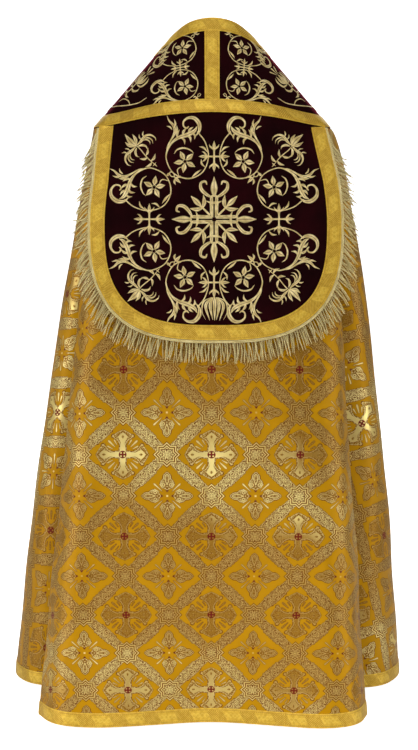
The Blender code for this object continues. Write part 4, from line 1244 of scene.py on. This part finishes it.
# A stroke is (x, y, width) at a few places along its middle line, in units of the motif.
SCROLL_CORDS = (           # ring, two stems that leave it, arc over the flower, small tendril
    ((0.48, 1.20, 0.07), (0.84, 0.72, 0.06), (1.00, 0.02, 0.06), (0.74, -0.68, 0.06),
     (0.08, -1.00, 0.07), (-0.64, -0.76, 0.06), (-0.99, -0.10, 0.06), (-0.90, 0.42, 0.09),
     (-0.60, 0.86, 0.05)),
    ((-0.62, 0.16, 0.02), (-0.46, 0.36, 0.08), (-0.14, 0.43, 0.09), (0.16, 0.33, 0.06),
     (0.31, 0.18, 0.01)),
    ((-0.40, -0.88, 0.03), (-0.46, -0.60, 0.06), (-0.30, -0.47, 0.04), (-0.14, -0.52, 0.01)),
)
SCROLL_LEAVES = (
    # the thick curl that ends the scroll, and its leaf with torn edges
    ((0.40, 1.00, 0.02), (0.57, 1.25, 0.15), (0.56, 1.57, 0.23), (0.34, 1.83, 0.20),
     (0.04, 1.85, 0.13), (-0.17, 1.68, 0.10), (-0.17, 1.46, 0.08), (-0.03, 1.37, 0.10),
     (0.07, 1.45, 0.05)),
    ((-0.95, 0.24, 0.02), (-0.74, 0.66, 0.10), (-0.40, 0.92, 0.18), (0.02, 1.06, 0.24),
     (0.34, 1.24, 0.19), (0.47, 1.46, 0.03)),
    ((-0.46, 0.90, 0.04), (-0.48, 1.10, 0.14), (-0.36, 1.30, 0.01)),
    ((-0.20, 1.00, 0.04), (-0.18, 1.20, 0.14), (-0.02, 1.38, 0.01)),
    ((0.06, 1.12, 0.05), (0.12, 1.30, 0.13), (0.28, 1.42, 0.01)),
    ((-0.30, 0.92, 0.04), (-0.14, 0.80, 0.12), (-0.12, 0.60, 0.01)),
    ((-0.04, 1.02, 0.04), (0.14, 0.92, 0.13), (0.16, 0.70, 0.01)),
    ((0.22, 1.16, 0.04), (0.36, 1.02, 0.12), (0.34, 0.84, 0.01)),
    # the long tail
    ((-0.98, 0.10, 0.02), (-0.93, 0.50, 0.07), (-0.70, 0.92, 0.10), (-0.58, 1.22, 0.16),
     (-0.66, 1.50, 0.15), (-0.86, 1.72, 0.09), (-0.97, 1.98, 0.01)),
    ((-0.62, 1.12, 0.04), (-0.48, 1.26, 0.11), (-0.50, 1.50, 0.01)),
    ((-0.64, 1.36, 0.04), (-0.56, 1.56, 0.11), (-0.62, 1.80, 0.01)),
    ((-0.72, 1.30, 0.04), (-0.82, 1.42, 0.09), (-0.98, 1.46, 0.01)),
    # leaflets inside the ring
    ((0.22, -0.94, 0.03), (0.44, -0.74, 0.12), (0.66, -0.58, 0.01)),
    ((0.84, -0.46, 0.03), (0.68, -0.30, 0.11), (0.66, -0.08, 0.01)),
    ((0.95, 0.24, 0.03), (0.78, 0.44, 0.11), (0.56, 0.50, 0.01)),
)
FLOWER_AT = (-0.10, -0.20)
JUNCTION = (               # a three-lobed bud and its curls, between two scrolls
    ((0.00, 0.00, 0.04), (0.14, -0.16, 0.22), (0.36, -0.36, 0.02)),
    ((0.04, -0.06, 0.04), (0.28, 0.02, 0.15), (0.46, -0.06, 0.01)),
    ((0.06, -0.04, 0.04), (-0.02, -0.28, 0.15), (0.06, -0.46, 0.01)),
    ((0.02, 0.02, 0.05), (-0.20, 0.04, 0.07), (-0.30, 0.22, 0.06), (-0.18, 0.38, 0.02)),
    ((-0.02, -0.02, 0.05), (-0.04, 0.20, 0.07), (-0.22, 0.30, 0.06), (-0.38, 0.18, 0.02)),
)
BEAD = ((-0.10, 0.0, 0.02), (-0.05, 0.0, 0.13), (0.05, 0.0, 0.13), (0.10, 0.0, 0.02))
CROSS_ARM = (              # one arm of a small cross: a bar and a three-lobed end
    ((0.00, 0.00, 0.15), (0.00, 0.28, 0.12), (0.00, 0.50, 0.20), (0.00, 0.62, 0.14)),
    ((0.00, 0.46, 0.08), (0.00, 0.70, 0.24), (0.00, 1.02, 0.01)),
    *pair((0.02, 0.44, 0.07), (0.15, 0.56, 0.14), (0.27, 0.66, 0.10), (0.32, 0.80, 0.01)),
)
GREAT_ARM = (              # one arm of the great cross
    *pair((0.055, 0.05, 0.08), (0.045, 0.30, 0.065), (0.065, 0.50, 0.09), (0.05, 0.60, 0.04)),
    ((0.00, 0.56, 0.06), (0.00, 0.78, 0.20), (0.00, 1.06, 0.01)),
    *pair((0.04, 0.54, 0.04), (0.19, 0.62, 0.09), (0.32, 0.75, 0.10), (0.33, 0.90, 0.07),
          (0.22, 0.94, 0.06), (0.18, 0.86, 0.03)),
    ((-0.20, 0.46, 0.01), (-0.09, 0.42, 0.06), (0.09, 0.42, 0.06), (0.20, 0.46, 0.01)),
)
GREAT_CORNER = (           # what grows between two arms of the great cross, up the diagonal
    ((0.00, 0.14, 0.06), (0.00, 0.36, 0.05), (0.00, 0.54, 0.03)),
    ((0.00, 0.44, 0.04), (0.00, 0.62, 0.15), (0.00, 0.82, 0.01)),
    *pair((0.00, 0.40, 0.04), (0.13, 0.48, 0.12), (0.24, 0.62, 0.01)),
    *pair((0.03, 0.16, 0.03), (0.16, 0.26, 0.08), (0.24, 0.40, 0.01)),
)
SPRIG = (                  # a corner spray: pointed bud, two crests of curling petals, leafy stem
    ((0.00, 0.30, 0.06), (-0.06, 0.62, 0.34), (0.00, 1.14, 0.02)),
    ((0.02, 0.32, 0.05), (0.20, 0.56, 0.20), (0.28, 0.86, 0.02)),
    ((-0.04, 0.32, 0.05), (-0.24, 0.56, 0.18), (-0.28, 0.84, 0.02)),
    ((0.00, 0.34, 0.05), (0.03, 0.05, 0.06), (-0.02, -0.50, 0.06), (0.02, -1.08, 0.03)),
    ((0.00, -0.40, 0.03), (0.18, -0.34, 0.14), (0.36, -0.18, 0.01)),
    ((0.00, -0.52, 0.03), (-0.18, -0.46, 0.14), (-0.34, -0.28, 0.01)),
    ((0.00, -0.76, 0.03), (0.20, -0.78, 0.15), (0.42, -0.66, 0.01)),
    ((0.00, -0.84, 0.03), (-0.20, -0.88, 0.15), (-0.42, -0.78, 0.01)),
    ((-0.12, -1.02, 0.02), (0.00, -1.02, 0.06), (0.13, -1.00, 0.02)),
    ((0.00, -0.94, 0.02), (0.02, -1.04, 0.06), (0.02, -1.18, 0.02)),
)
CREST = (                  # one crest of the spray, for its right side
    ((0.06, 0.30, 0.06), (0.34, 0.30, 0.15), (0.66, 0.34, 0.14), (0.90, 0.20, 0.11),
     (0.98, -0.06, 0.06), (0.90, -0.22, 0.01)),
    ((0.44, 0.26, 0.03), (0.60, 0.16, 0.08), (0.64, -0.02, 0.06), (0.56, -0.14, 0.01)),
    ((0.58, 0.28, 0.03), (0.74, 0.14, 0.08), (0.78, -0.06, 0.06), (0.68, -0.22, 0.01)),
    ((0.06, 0.22, 0.05), (0.24, 0.12, 0.14), (0.34, -0.06, 0.10), (0.28, -0.22, 0.01)),
    ((0.60, 0.38, 0.03), (0.66, 0.50, 0.08), (0.80, 0.58, 0.01)),
    ((0.40, 0.36, 0.03), (0.42, 0.50, 0.08), (0.52, 0.62, 0.01)),
)
BUD = (                    # the round bud under the lowest cross: leaves side by side
    ((0.00, 0.52, 0.04), (0.00, 0.20, 0.20), (0.00, -0.52, 0.03)),
    *pair((0.06, 0.50, 0.04), (0.20, 0.14, 0.17), (0.08, -0.50, 0.02)),
    *pair((0.10, 0.50, 0.04), (0.40, 0.14, 0.16), (0.22, -0.52, 0.02)),
    *pair((0.14, 0.50, 0.03), (0.50, 0.30, 0.08), (0.56, -0.14, 0.04), (0.40, -0.50, 0.01)),
)
BLOOM = (                  # the open bloom of the bands, up its stem
    ((0.00, -1.10, 0.03), (-0.05, -0.70, 0.07), (0.03, -0.35, 0.07), (0.00, -0.05, 0.04)),
    ((0.00, -0.30, 0.10), (0.00, 0.02, 0.30), (0.00, 0.34, 0.03)),
    *pair((0.04, -0.26, 0.06), (0.24, 0.00, 0.20), (0.22, 0.36, 0.02)),
    *pair((0.08, -0.30, 0.04), (0.42, -0.20, 0.12), (0.48, 0.14, 0.10), (0.36, 0.34, 0.02)),
    ((0.00, 0.36, 0.02), (0.00, 0.50, 0.05), (0.00, 0.72, 0.09), (0.00, 0.80, 0.02)),
    *pair((0.08, 0.38, 0.02), (0.16, 0.52, 0.05), (0.26, 0.68, 0.09), (0.30, 0.75, 0.02)),
    ((0.02, -0.52, 0.03), (0.26, -0.56, 0.14), (0.44, -0.40, 0.10), (0.40, -0.24, 0.02)),
    ((-0.02, -0.60, 0.03), (-0.28, -0.62, 0.14), (-0.46, -0.46, 0.10), (-0.44, -0.30, 0.02)),
    ((-0.03, -0.86, 0.03), (0.20, -0.96, 0.13), (0.42, -0.88, 0.01)),
    ((-0.02, -0.92, 0.03), (-0.22, -1.04, 0.13), (-0.42, -0.98, 0.01)),
)
PETAL = ((0.0, 0.15, 0.04), (0.0, 0.52, 0.52), (0.0, 1.0, 0.02))
SEED = ((0.0, 0.12, 0.03), (0.0, 0.17, 0.07), (0.0, 0.22, 0.03))


def moved(strokes, at=(0.0, 0.0), size=1.0, degrees=0.0, mirror=1.0):
    """Strokes mirrored (-1) in their upright line, enlarged, turned and set down at a place."""
    turn = np.radians(degrees)
    done = []
    for stroke in strokes:
        x, y, width = np.array(stroke).T
        x = x * mirror
        done.append(np.stack([at[0] + size * (x * np.cos(turn) - y * np.sin(turn)),
                              at[1] + size * (x * np.sin(turn) + y * np.cos(turn)),
                              size * width], 1))
    return done


def round_strokes(strokes, count, first=0.0):
    """A motif's strokes repeated round its middle."""
    turns = [first + k * 360 / count for k in range(count)]
    return [stroke for turn in turns for stroke in moved(strokes, degrees=turn)]


FLOWER = round_strokes((PETAL,), 5, 18.0) + round_strokes((SEED,), 5, 54.0)
SMALL_CROSS = round_strokes(CROSS_ARM, 4)
GREAT_CROSS = round_strokes(GREAT_ARM, 4) + round_strokes(GREAT_CORNER, 4, 45.0)
SPRAY = list(SPRIG) + list(CREST) + moved(CREST, mirror=-1.0)
SCROLL = list(SCROLL_CORDS) + list(SCROLL_LEAVES) + moved(FLOWER, FLOWER_AT, 0.54, 8.0)


def thread_finish():
    """Antique gold thread laid side by side across each stroke, a little uneven in tone; painted
    shade darkens its edges and groove.
    """
    finish = Finish("embroidery_thread")
    where, along, across = finish.place("stitch")
    fullness = finish.place("fullness")[1]
    stitch = (along + across.size() * 0.5).wave(0.0007) * 0.5 + 0.5
    tone = finish.noise(where, 70.0, 2.0)
    base = finish.colour((0.53, 0.40, 0.135), (0.84, 0.70, 0.34), tone.step(0.3, 0.7))
    base = finish.colour((0.30, 0.175, 0.055), base, stitch * 0.35 + 0.65)
    # painted shade: the stroke is darker where it is less full, at its edges and in its groove,
    # and palest on its crest
    base = finish.colour((0.105, 0.052, 0.016), base, fullness.step(0.30, 0.80))
    finish.set(Base_Color=base, Metallic=0.35, Roughness=0.33, Specular_IOR_Level=0.55)
    finish.relief(stitch, 0.0003, 0.5)
    return finish.material


thread = thread_finish()
# Across a stroke: how far from its middle line each point stands, and how full it is (its height,
# and painted shade).
STROKE_SIDE = np.array([-1.0, -0.8, -0.4, 0.0, 0.4, 0.8, 1.0])
STROKE_FULL = np.array([-0.25, 0.62, 0.92, 1.0, 0.92, 0.62, -0.25])
STROKE_RISE = 0.42        # its height as a share of its width, between a least and a most
LEAST_RISE, MOST_RISE = 0.00025, 0.0011
GROOVE = 0.60             # how much of its fullness the groove takes where it is 6 mm wide;
GROOVE_FROM = 0.0030      # a stroke of this width has none yet


def embroidered(name, strokes, lay):
    """Strokes as one mesh; lay(places, heights) gives points so high over the cloth.

    Each stroke is a closed strip along its middle line, rounded across, with a groove down the
    middle where it is wide, as satin stitch is worked on a leaf.
    """
    points, faces, spots, fullness, count = [], [], [], [], 0
    for stroke in strokes:
        line = through(stroke, np.linspace(0, len(stroke) - 1, 5 * len(stroke) - 4))
        width = np.maximum(line[:, 2:], 0.0003)
        ahead = np.gradient(line[:, :2], axis=0)
        length = np.linalg.norm(ahead, axis=1, keepdims=True)
        left = ahead[:, ::-1] * (-1.0, 1.0) / np.maximum(length, 1e-9)
        places = line[:, None, :2] + left[:, None] * (width * STROKE_SIDE / 2)[..., None]
        full = np.repeat(STROKE_FULL[None], len(line), axis=0)
        full[:, 3:4] *= 1 - GROOVE * np.clip((width - GROOVE_FROM) / 0.003, 0, 1)
        height = np.clip(STROKE_RISE * width, LEAST_RISE, MOST_RISE) * full
        points.append(lay(places.reshape(-1, 2), height.ravel()))
        # how full each point is, which the thread's painted shade reads
        fullness.append(full.reshape(-1, 1) * (1.0, 0.0))
        run = np.concatenate([[0.0], np.cumsum(length[1:, 0])])[:, None]
        spots.append(np.stack(np.broadcast_arrays(run + count * 0.013, width * STROKE_SIDE / 2),
                              -1).reshape(-1, 2))
        faces += tube_faces(np.arange(full.size).reshape(full.shape) + count)
        count += full.size
    piece(name, np.concatenate(points), faces, (thread,), 60, stitch=np.concatenate(spots),
          fullness=np.concatenate(fullness))


DESIGN_AT = (0.004, -0.411)     # middle of the hood's design: right as seen from behind, up


def on_hood(places, height):
    """Points over the hood's velvet: places are (right, up) as seen from behind."""
    x, z = -(places[:, 0] + DESIGN_AT[0]), places[:, 1] + DESIGN_AT[1]
    points = np.stack([x, hood_depth(x, z), z], -1)
    return points + hood_normal(points) * (VELVET_WALL + height)[:, None]


def on_band(places, height):
    """Points over a band's velvet: places are on its flat cut, turned over, (right, up).

    The straight line across the band that passes through a place gives its station.
    """
    reach, y = np.abs(places[:, 0]), places[:, 1]
    across = FLAT_SEAM - FLAT_EDGE
    turn = (across[None, :, 0] * (y[:, None] - FLAT_EDGE[None, :, 1])
            - across[None, :, 1] * (reach[:, None] - FLAT_EDGE[None, :, 0]))
    k = np.clip((turn > 0).sum(1) - 1, 0, len(STATIONS) - 2)
    row = np.arange(len(k))
    f = np.clip(turn[row, k] / (turn[row, k] - turn[row, k + 1]), 0, 1)
    t = STATIONS[k] + f * (STATIONS[1] - STATIONS[0])
    edge = FLAT_EDGE[k] + (FLAT_EDGE[k + 1] - FLAT_EDGE[k]) * f[:, None]
    seam = FLAT_SEAM[k] + (FLAT_SEAM[k + 1] - FLAT_SEAM[k]) * f[:, None]
    w = np.hypot(reach - edge[:, 0], y - edge[:, 1]) / np.hypot(*(seam - edge).T)
    t = -np.sign(places[:, 0]) * t
    normal = np.cross(velvet_band(t + NEAR, w) - velvet_band(t - NEAR, w),
                      velvet_band(t, w + NEAR) - velvet_band(t, w - NEAR))
    normal /= np.linalg.norm(normal, axis=1, keepdims=True)
    return velvet_band(t, w) + normal * (VELVET_WALL + height)[:, None]


# The hood's design: places as seen from behind (right, up), from the middle of the hood.
RING = 0.0430             # radius of a scroll's ring
# For each quarter of the hood, how far a junction is turned so that it faces the middle.
TOWARDS_MIDDLE = {(-1, 1): 0.0, (1, 1): -90.0, (-1, -1): 90.0, (1, -1): 180.0}
hood_design = []
for (right, up), turn in TOWARDS_MIDDLE.items():
    over = 0.0 if up > 0 else 180.0
    hood_design += moved(SCROLL, (right * 0.0545, up * 0.1250), RING, over, -right * up)
    # the scrolls at the sides are the same ones, lying on the diagonal
    hood_design += moved(SCROLL, (right * 0.1305, up * 0.0600), RING, -right * 90.0, right * up)
    hood_design += moved(JUNCTION, (right * 0.0800, up * 0.0850), 0.034, turn)
    hood_design += moved((BEAD,), (right * 0.0930, up * 0.0900), 0.040, turn + 45.0)
    hood_design += moved(SPRAY, (right * (0.1465 + 0.0035 * up), up * (0.1360 + 0.0030 * up)),
                         0.0400, turn + 45.0)
for spot in ((0, 0.1265), (0, -0.1265), (-0.1315, 0), (0.1315, 0)):
    hood_design += moved(SMALL_CROSS, spot, 0.0310)
hood_design += moved(BUD, (0.001, -0.1790), 0.0450)
hood_design += moved(GREAT_CROSS, (0.0, 0.0), 0.0810)
embroidered("embroidery_on_hood", hood_design, on_hood)

# The bands' design, along a band and across it from its middle line: two scrolls beside a
# small cross, then a bloom with its stem, again and again.
BAND_RING = 0.0350
FIRST_SCROLLS = 0.0660    # how far along the band the first two scrolls stand
REPEATS, REPEAT_ALONG = 7, 0.240
LAST_BLOOM = 1.55         # how far along the band a bloom may still follow
TWO_SCROLLS = []
for up in (-1, 1):
    TWO_SCROLLS += moved(SCROLL, (0.0, up * 0.0400), BAND_RING, -90.0, up)
    TWO_SCROLLS += moved(JUNCTION, (-0.0330, up * 0.0690), 0.022, 90.0 + up * 90.0)
TWO_SCROLLS += moved(SMALL_CROSS, (0.0, 0.0), 0.0200)
ONE_BLOOM = moved(BLOOM, (0.1260, -0.002), 0.0400, 80.0)
YOKE_BLOOM = moved(BLOOM, (0.160, -0.113), 0.0440, 55.0)      # at its place on the flat cut
STEM = (((0.076, -0.052, 0.0015), (0.100, -0.060, 0.0028), (0.130, -0.062, 0.0028),
         (0.165, -0.050, 0.0026), (0.200, -0.052, 0.0012)),
        ((0.108, -0.060, 0.0015), (0.112, -0.048, 0.0030), (0.120, -0.042, 0.0026),
         (0.126, -0.048, 0.0010)),
        ((0.150, -0.057, 0.0010), (0.160, -0.066, 0.0042), (0.178, -0.068, 0.0008)))

BAND_MIDDLE = (FLAT_EDGE + FLAT_SEAM) / 2
ALONG_MIDDLE = run_along(BAND_MIDDLE)


def along_band(strokes, start):
    """Strokes bent along the band's middle line, whose places count from start."""
    def on_middle(at):
        return np.stack([np.interp(at, ALONG_MIDDLE, BAND_MIDDLE[:, k]) for k in (0, 1)], -1)

    bent = []
    for stroke in strokes:
        at = stroke[:, 0] + start
        ahead = on_middle(at + 0.01) - on_middle(at - 0.01)
        ahead /= np.linalg.norm(ahead, axis=1, keepdims=True)
        beside = ahead[:, ::-1] * (-1.0, 1.0) * stroke[:, 1:2]
        bent.append(np.column_stack([on_middle(at) + beside, stroke[:, 2]]))
    return bent


stem = [np.array(stroke) for stroke in STEM]
band_design = []
for k in range(REPEATS):
    start = FIRST_SCROLLS + REPEAT_ALONG * k
    band_design += along_band(TWO_SCROLLS, start)
    if k == 0:
        band_design += YOKE_BLOOM + along_band(stem, start)
    elif start + REPEAT_ALONG < LAST_BLOOM:
        band_design += along_band(ONE_BLOOM + stem, start)
embroidered("embroidery_on_band_right", band_design, on_band)
embroidered("embroidery_on_band_left", moved(band_design, mirror=-1.0), on_band)


# ---- the clasp ---------------------------------------------------------------------------------
# Two gilt plates with a raised rim, sewn to the braid of the front edges at the breast, and a
# plain link hooked over a peg on each of them.  It is fastened and holds the fronts together.

CLASP_STATION = 8.2       # the station of the band at which a plate's middle lies,
CLASP_SHARE = 0.105       # and the share of the band's width, in from the front edge
CLASP_LIFT = VELVET_WALL + GALLOON_WALL + 2 * GAP + 0.0020     # over the band's inner face
PLATE = (0.034, 0.046, 0.006)     # width, height, radius of its corners
# Each step of a plate's or link's profile: how far in from its outline, and how high.
PLATE_STEPS = ((0.0004, -0.0008), (0.0, -0.0004), (0.0, 0.0005), (0.0004, 0.0010),
               (0.0011, 0.0013), (0.0026, 0.0013), (0.0031, 0.0010), (0.0034, 0.0005),
               (0.0070, 0.0009), (0.0120, 0.0012), (0.0150, 0.0013))
LINK = (0.052, 0.012, 0.005)
LINK_STEPS = ((0.0008, -0.0010), (0.0001, -0.0006), (0.0, 0.0003), (0.0006, 0.0009),
              (0.0014, 0.0011), (0.0034, 0.0014), (0.0045, 0.0014))
LINK_STANDOFF = 0.0082    # how far the link's middle stands out from the plates'
PEG_RADIUS = 0.0014
PEG_SIDES = 16


def gilt_finish():
    """Polished gilt metal with faint cloudy wear."""
    finish = Finish("gilt_metal")
    coordinates = finish.tree.nodes.new("ShaderNodeTexCoord").outputs["Object"]
    cloud = finish.noise(coordinates, 90.0, 3.0)
    finish.set(Base_Color=finish.colour((0.62, 0.38, 0.10), (0.78, 0.53, 0.19), cloud),
               Metallic=1.0, Roughness=cloud * 0.14 + 0.20)
    finish.relief(finish.noise(coordinates, 2600.0, 1.0), 0.0002, 0.15)
    return finish.material


def rounded(width, height, radius):
    """A rectangle with round corners, against the clock: nine points on each quarter circle."""
    angle = np.radians(np.arange(4)[:, None] * 90 + np.linspace(0, 90, 9))
    corner = np.sign(np.cos(angle.mean(1))), np.sign(np.sin(angle.mean(1)))
    x = corner[0][:, None] * (width / 2 - radius) + radius * np.cos(angle)
    y = corner[1][:, None] * (height / 2 - radius) + radius * np.sin(angle)
    return np.stack([x.ravel(), y.ravel()], 1)


def stepped(size, steps, middle, axes):
    """Rings of a plate: its outline at each (inset, height), set down on three axes."""
    rings = []
    for inset, height in steps:
        outline = rounded(size[0] - 2 * inset, size[1] - 2 * inset, max(size[2] - inset, 0.0004))
        flat = np.column_stack([outline, np.full(len(outline), height)])
        rings.append(middle + flat @ axes)
    return np.array(rings)


def lofted(name, rings, node=None):
    """A closed solid of gilt metal through rings of points, from its back to its front."""
    here = np.arange(rings.size // 3).reshape(rings.shape[:2])
    made = piece(name, rings, tube_faces(here[:, ::-1]), (gilt,), 40)
    if node:
        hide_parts(node)


gilt = gilt_finish()
spot, beyond, further = (velvet_band(np.array(CLASP_STATION + d), np.array(CLASP_SHARE + e))
                         for d, e in ((0, 0), (0, 0.01), (0.01, 0)))
along = (beyond - spot) / np.linalg.norm(beyond - spot)
facing = np.cross(further - spot, along)
facing /= -np.linalg.norm(facing) * np.sign(facing[1])
plate_axes = np.stack([along, np.cross(facing, along), facing])
middle = spot + facing * CLASP_LIFT
link_middle = np.array([0.0, middle[1] - LINK_STANDOFF, middle[2]])
link_axes = np.array([[1.0, 0.0, 0.0], [0.0, 0.0, 1.0], [0.0, -1.0, 0.0]])
peg_foot = middle - along * (PLATE[0] / 2 - 0.0024) + facing * 0.0004
peg_foot += np.cross(facing, along) * ((middle[2] - peg_foot[2]) / np.cross(facing, along)[2])
peg_steps = ((0.0, link_middle[1] + 0.0004), (0.0002, link_middle[1] - 0.0018),
             (0.0008, link_middle[1] - 0.0021))
turn = np.linspace(0, 2 * np.pi, PEG_SIDES, endpoint=False)
for name, sign in (("left", 1), ("right", -1)):
    side = np.array([sign, 1.0, 1.0])
    rings = stepped(PLATE, PLATE_STEPS, middle, plate_axes) * side
    lofted("gilt_plate_" + name, rings[:, ::sign], "clasp_plate_" + name)
    peg = [np.stack([peg_foot[0] + (PEG_RADIUS - inset) * np.cos(turn), np.full(PEG_SIDES, y),
                     peg_foot[2] + (PEG_RADIUS - inset) * np.sin(turn)], 1)
           for inset, y in ((0.0, peg_foot[1]), *peg_steps)]
    lofted("gilt_peg_" + name, (np.array(peg) * side)[:, ::sign])
lofted("gilt_link", stepped(LINK, LINK_STEPS, link_middle, link_axes), "clasp_link")
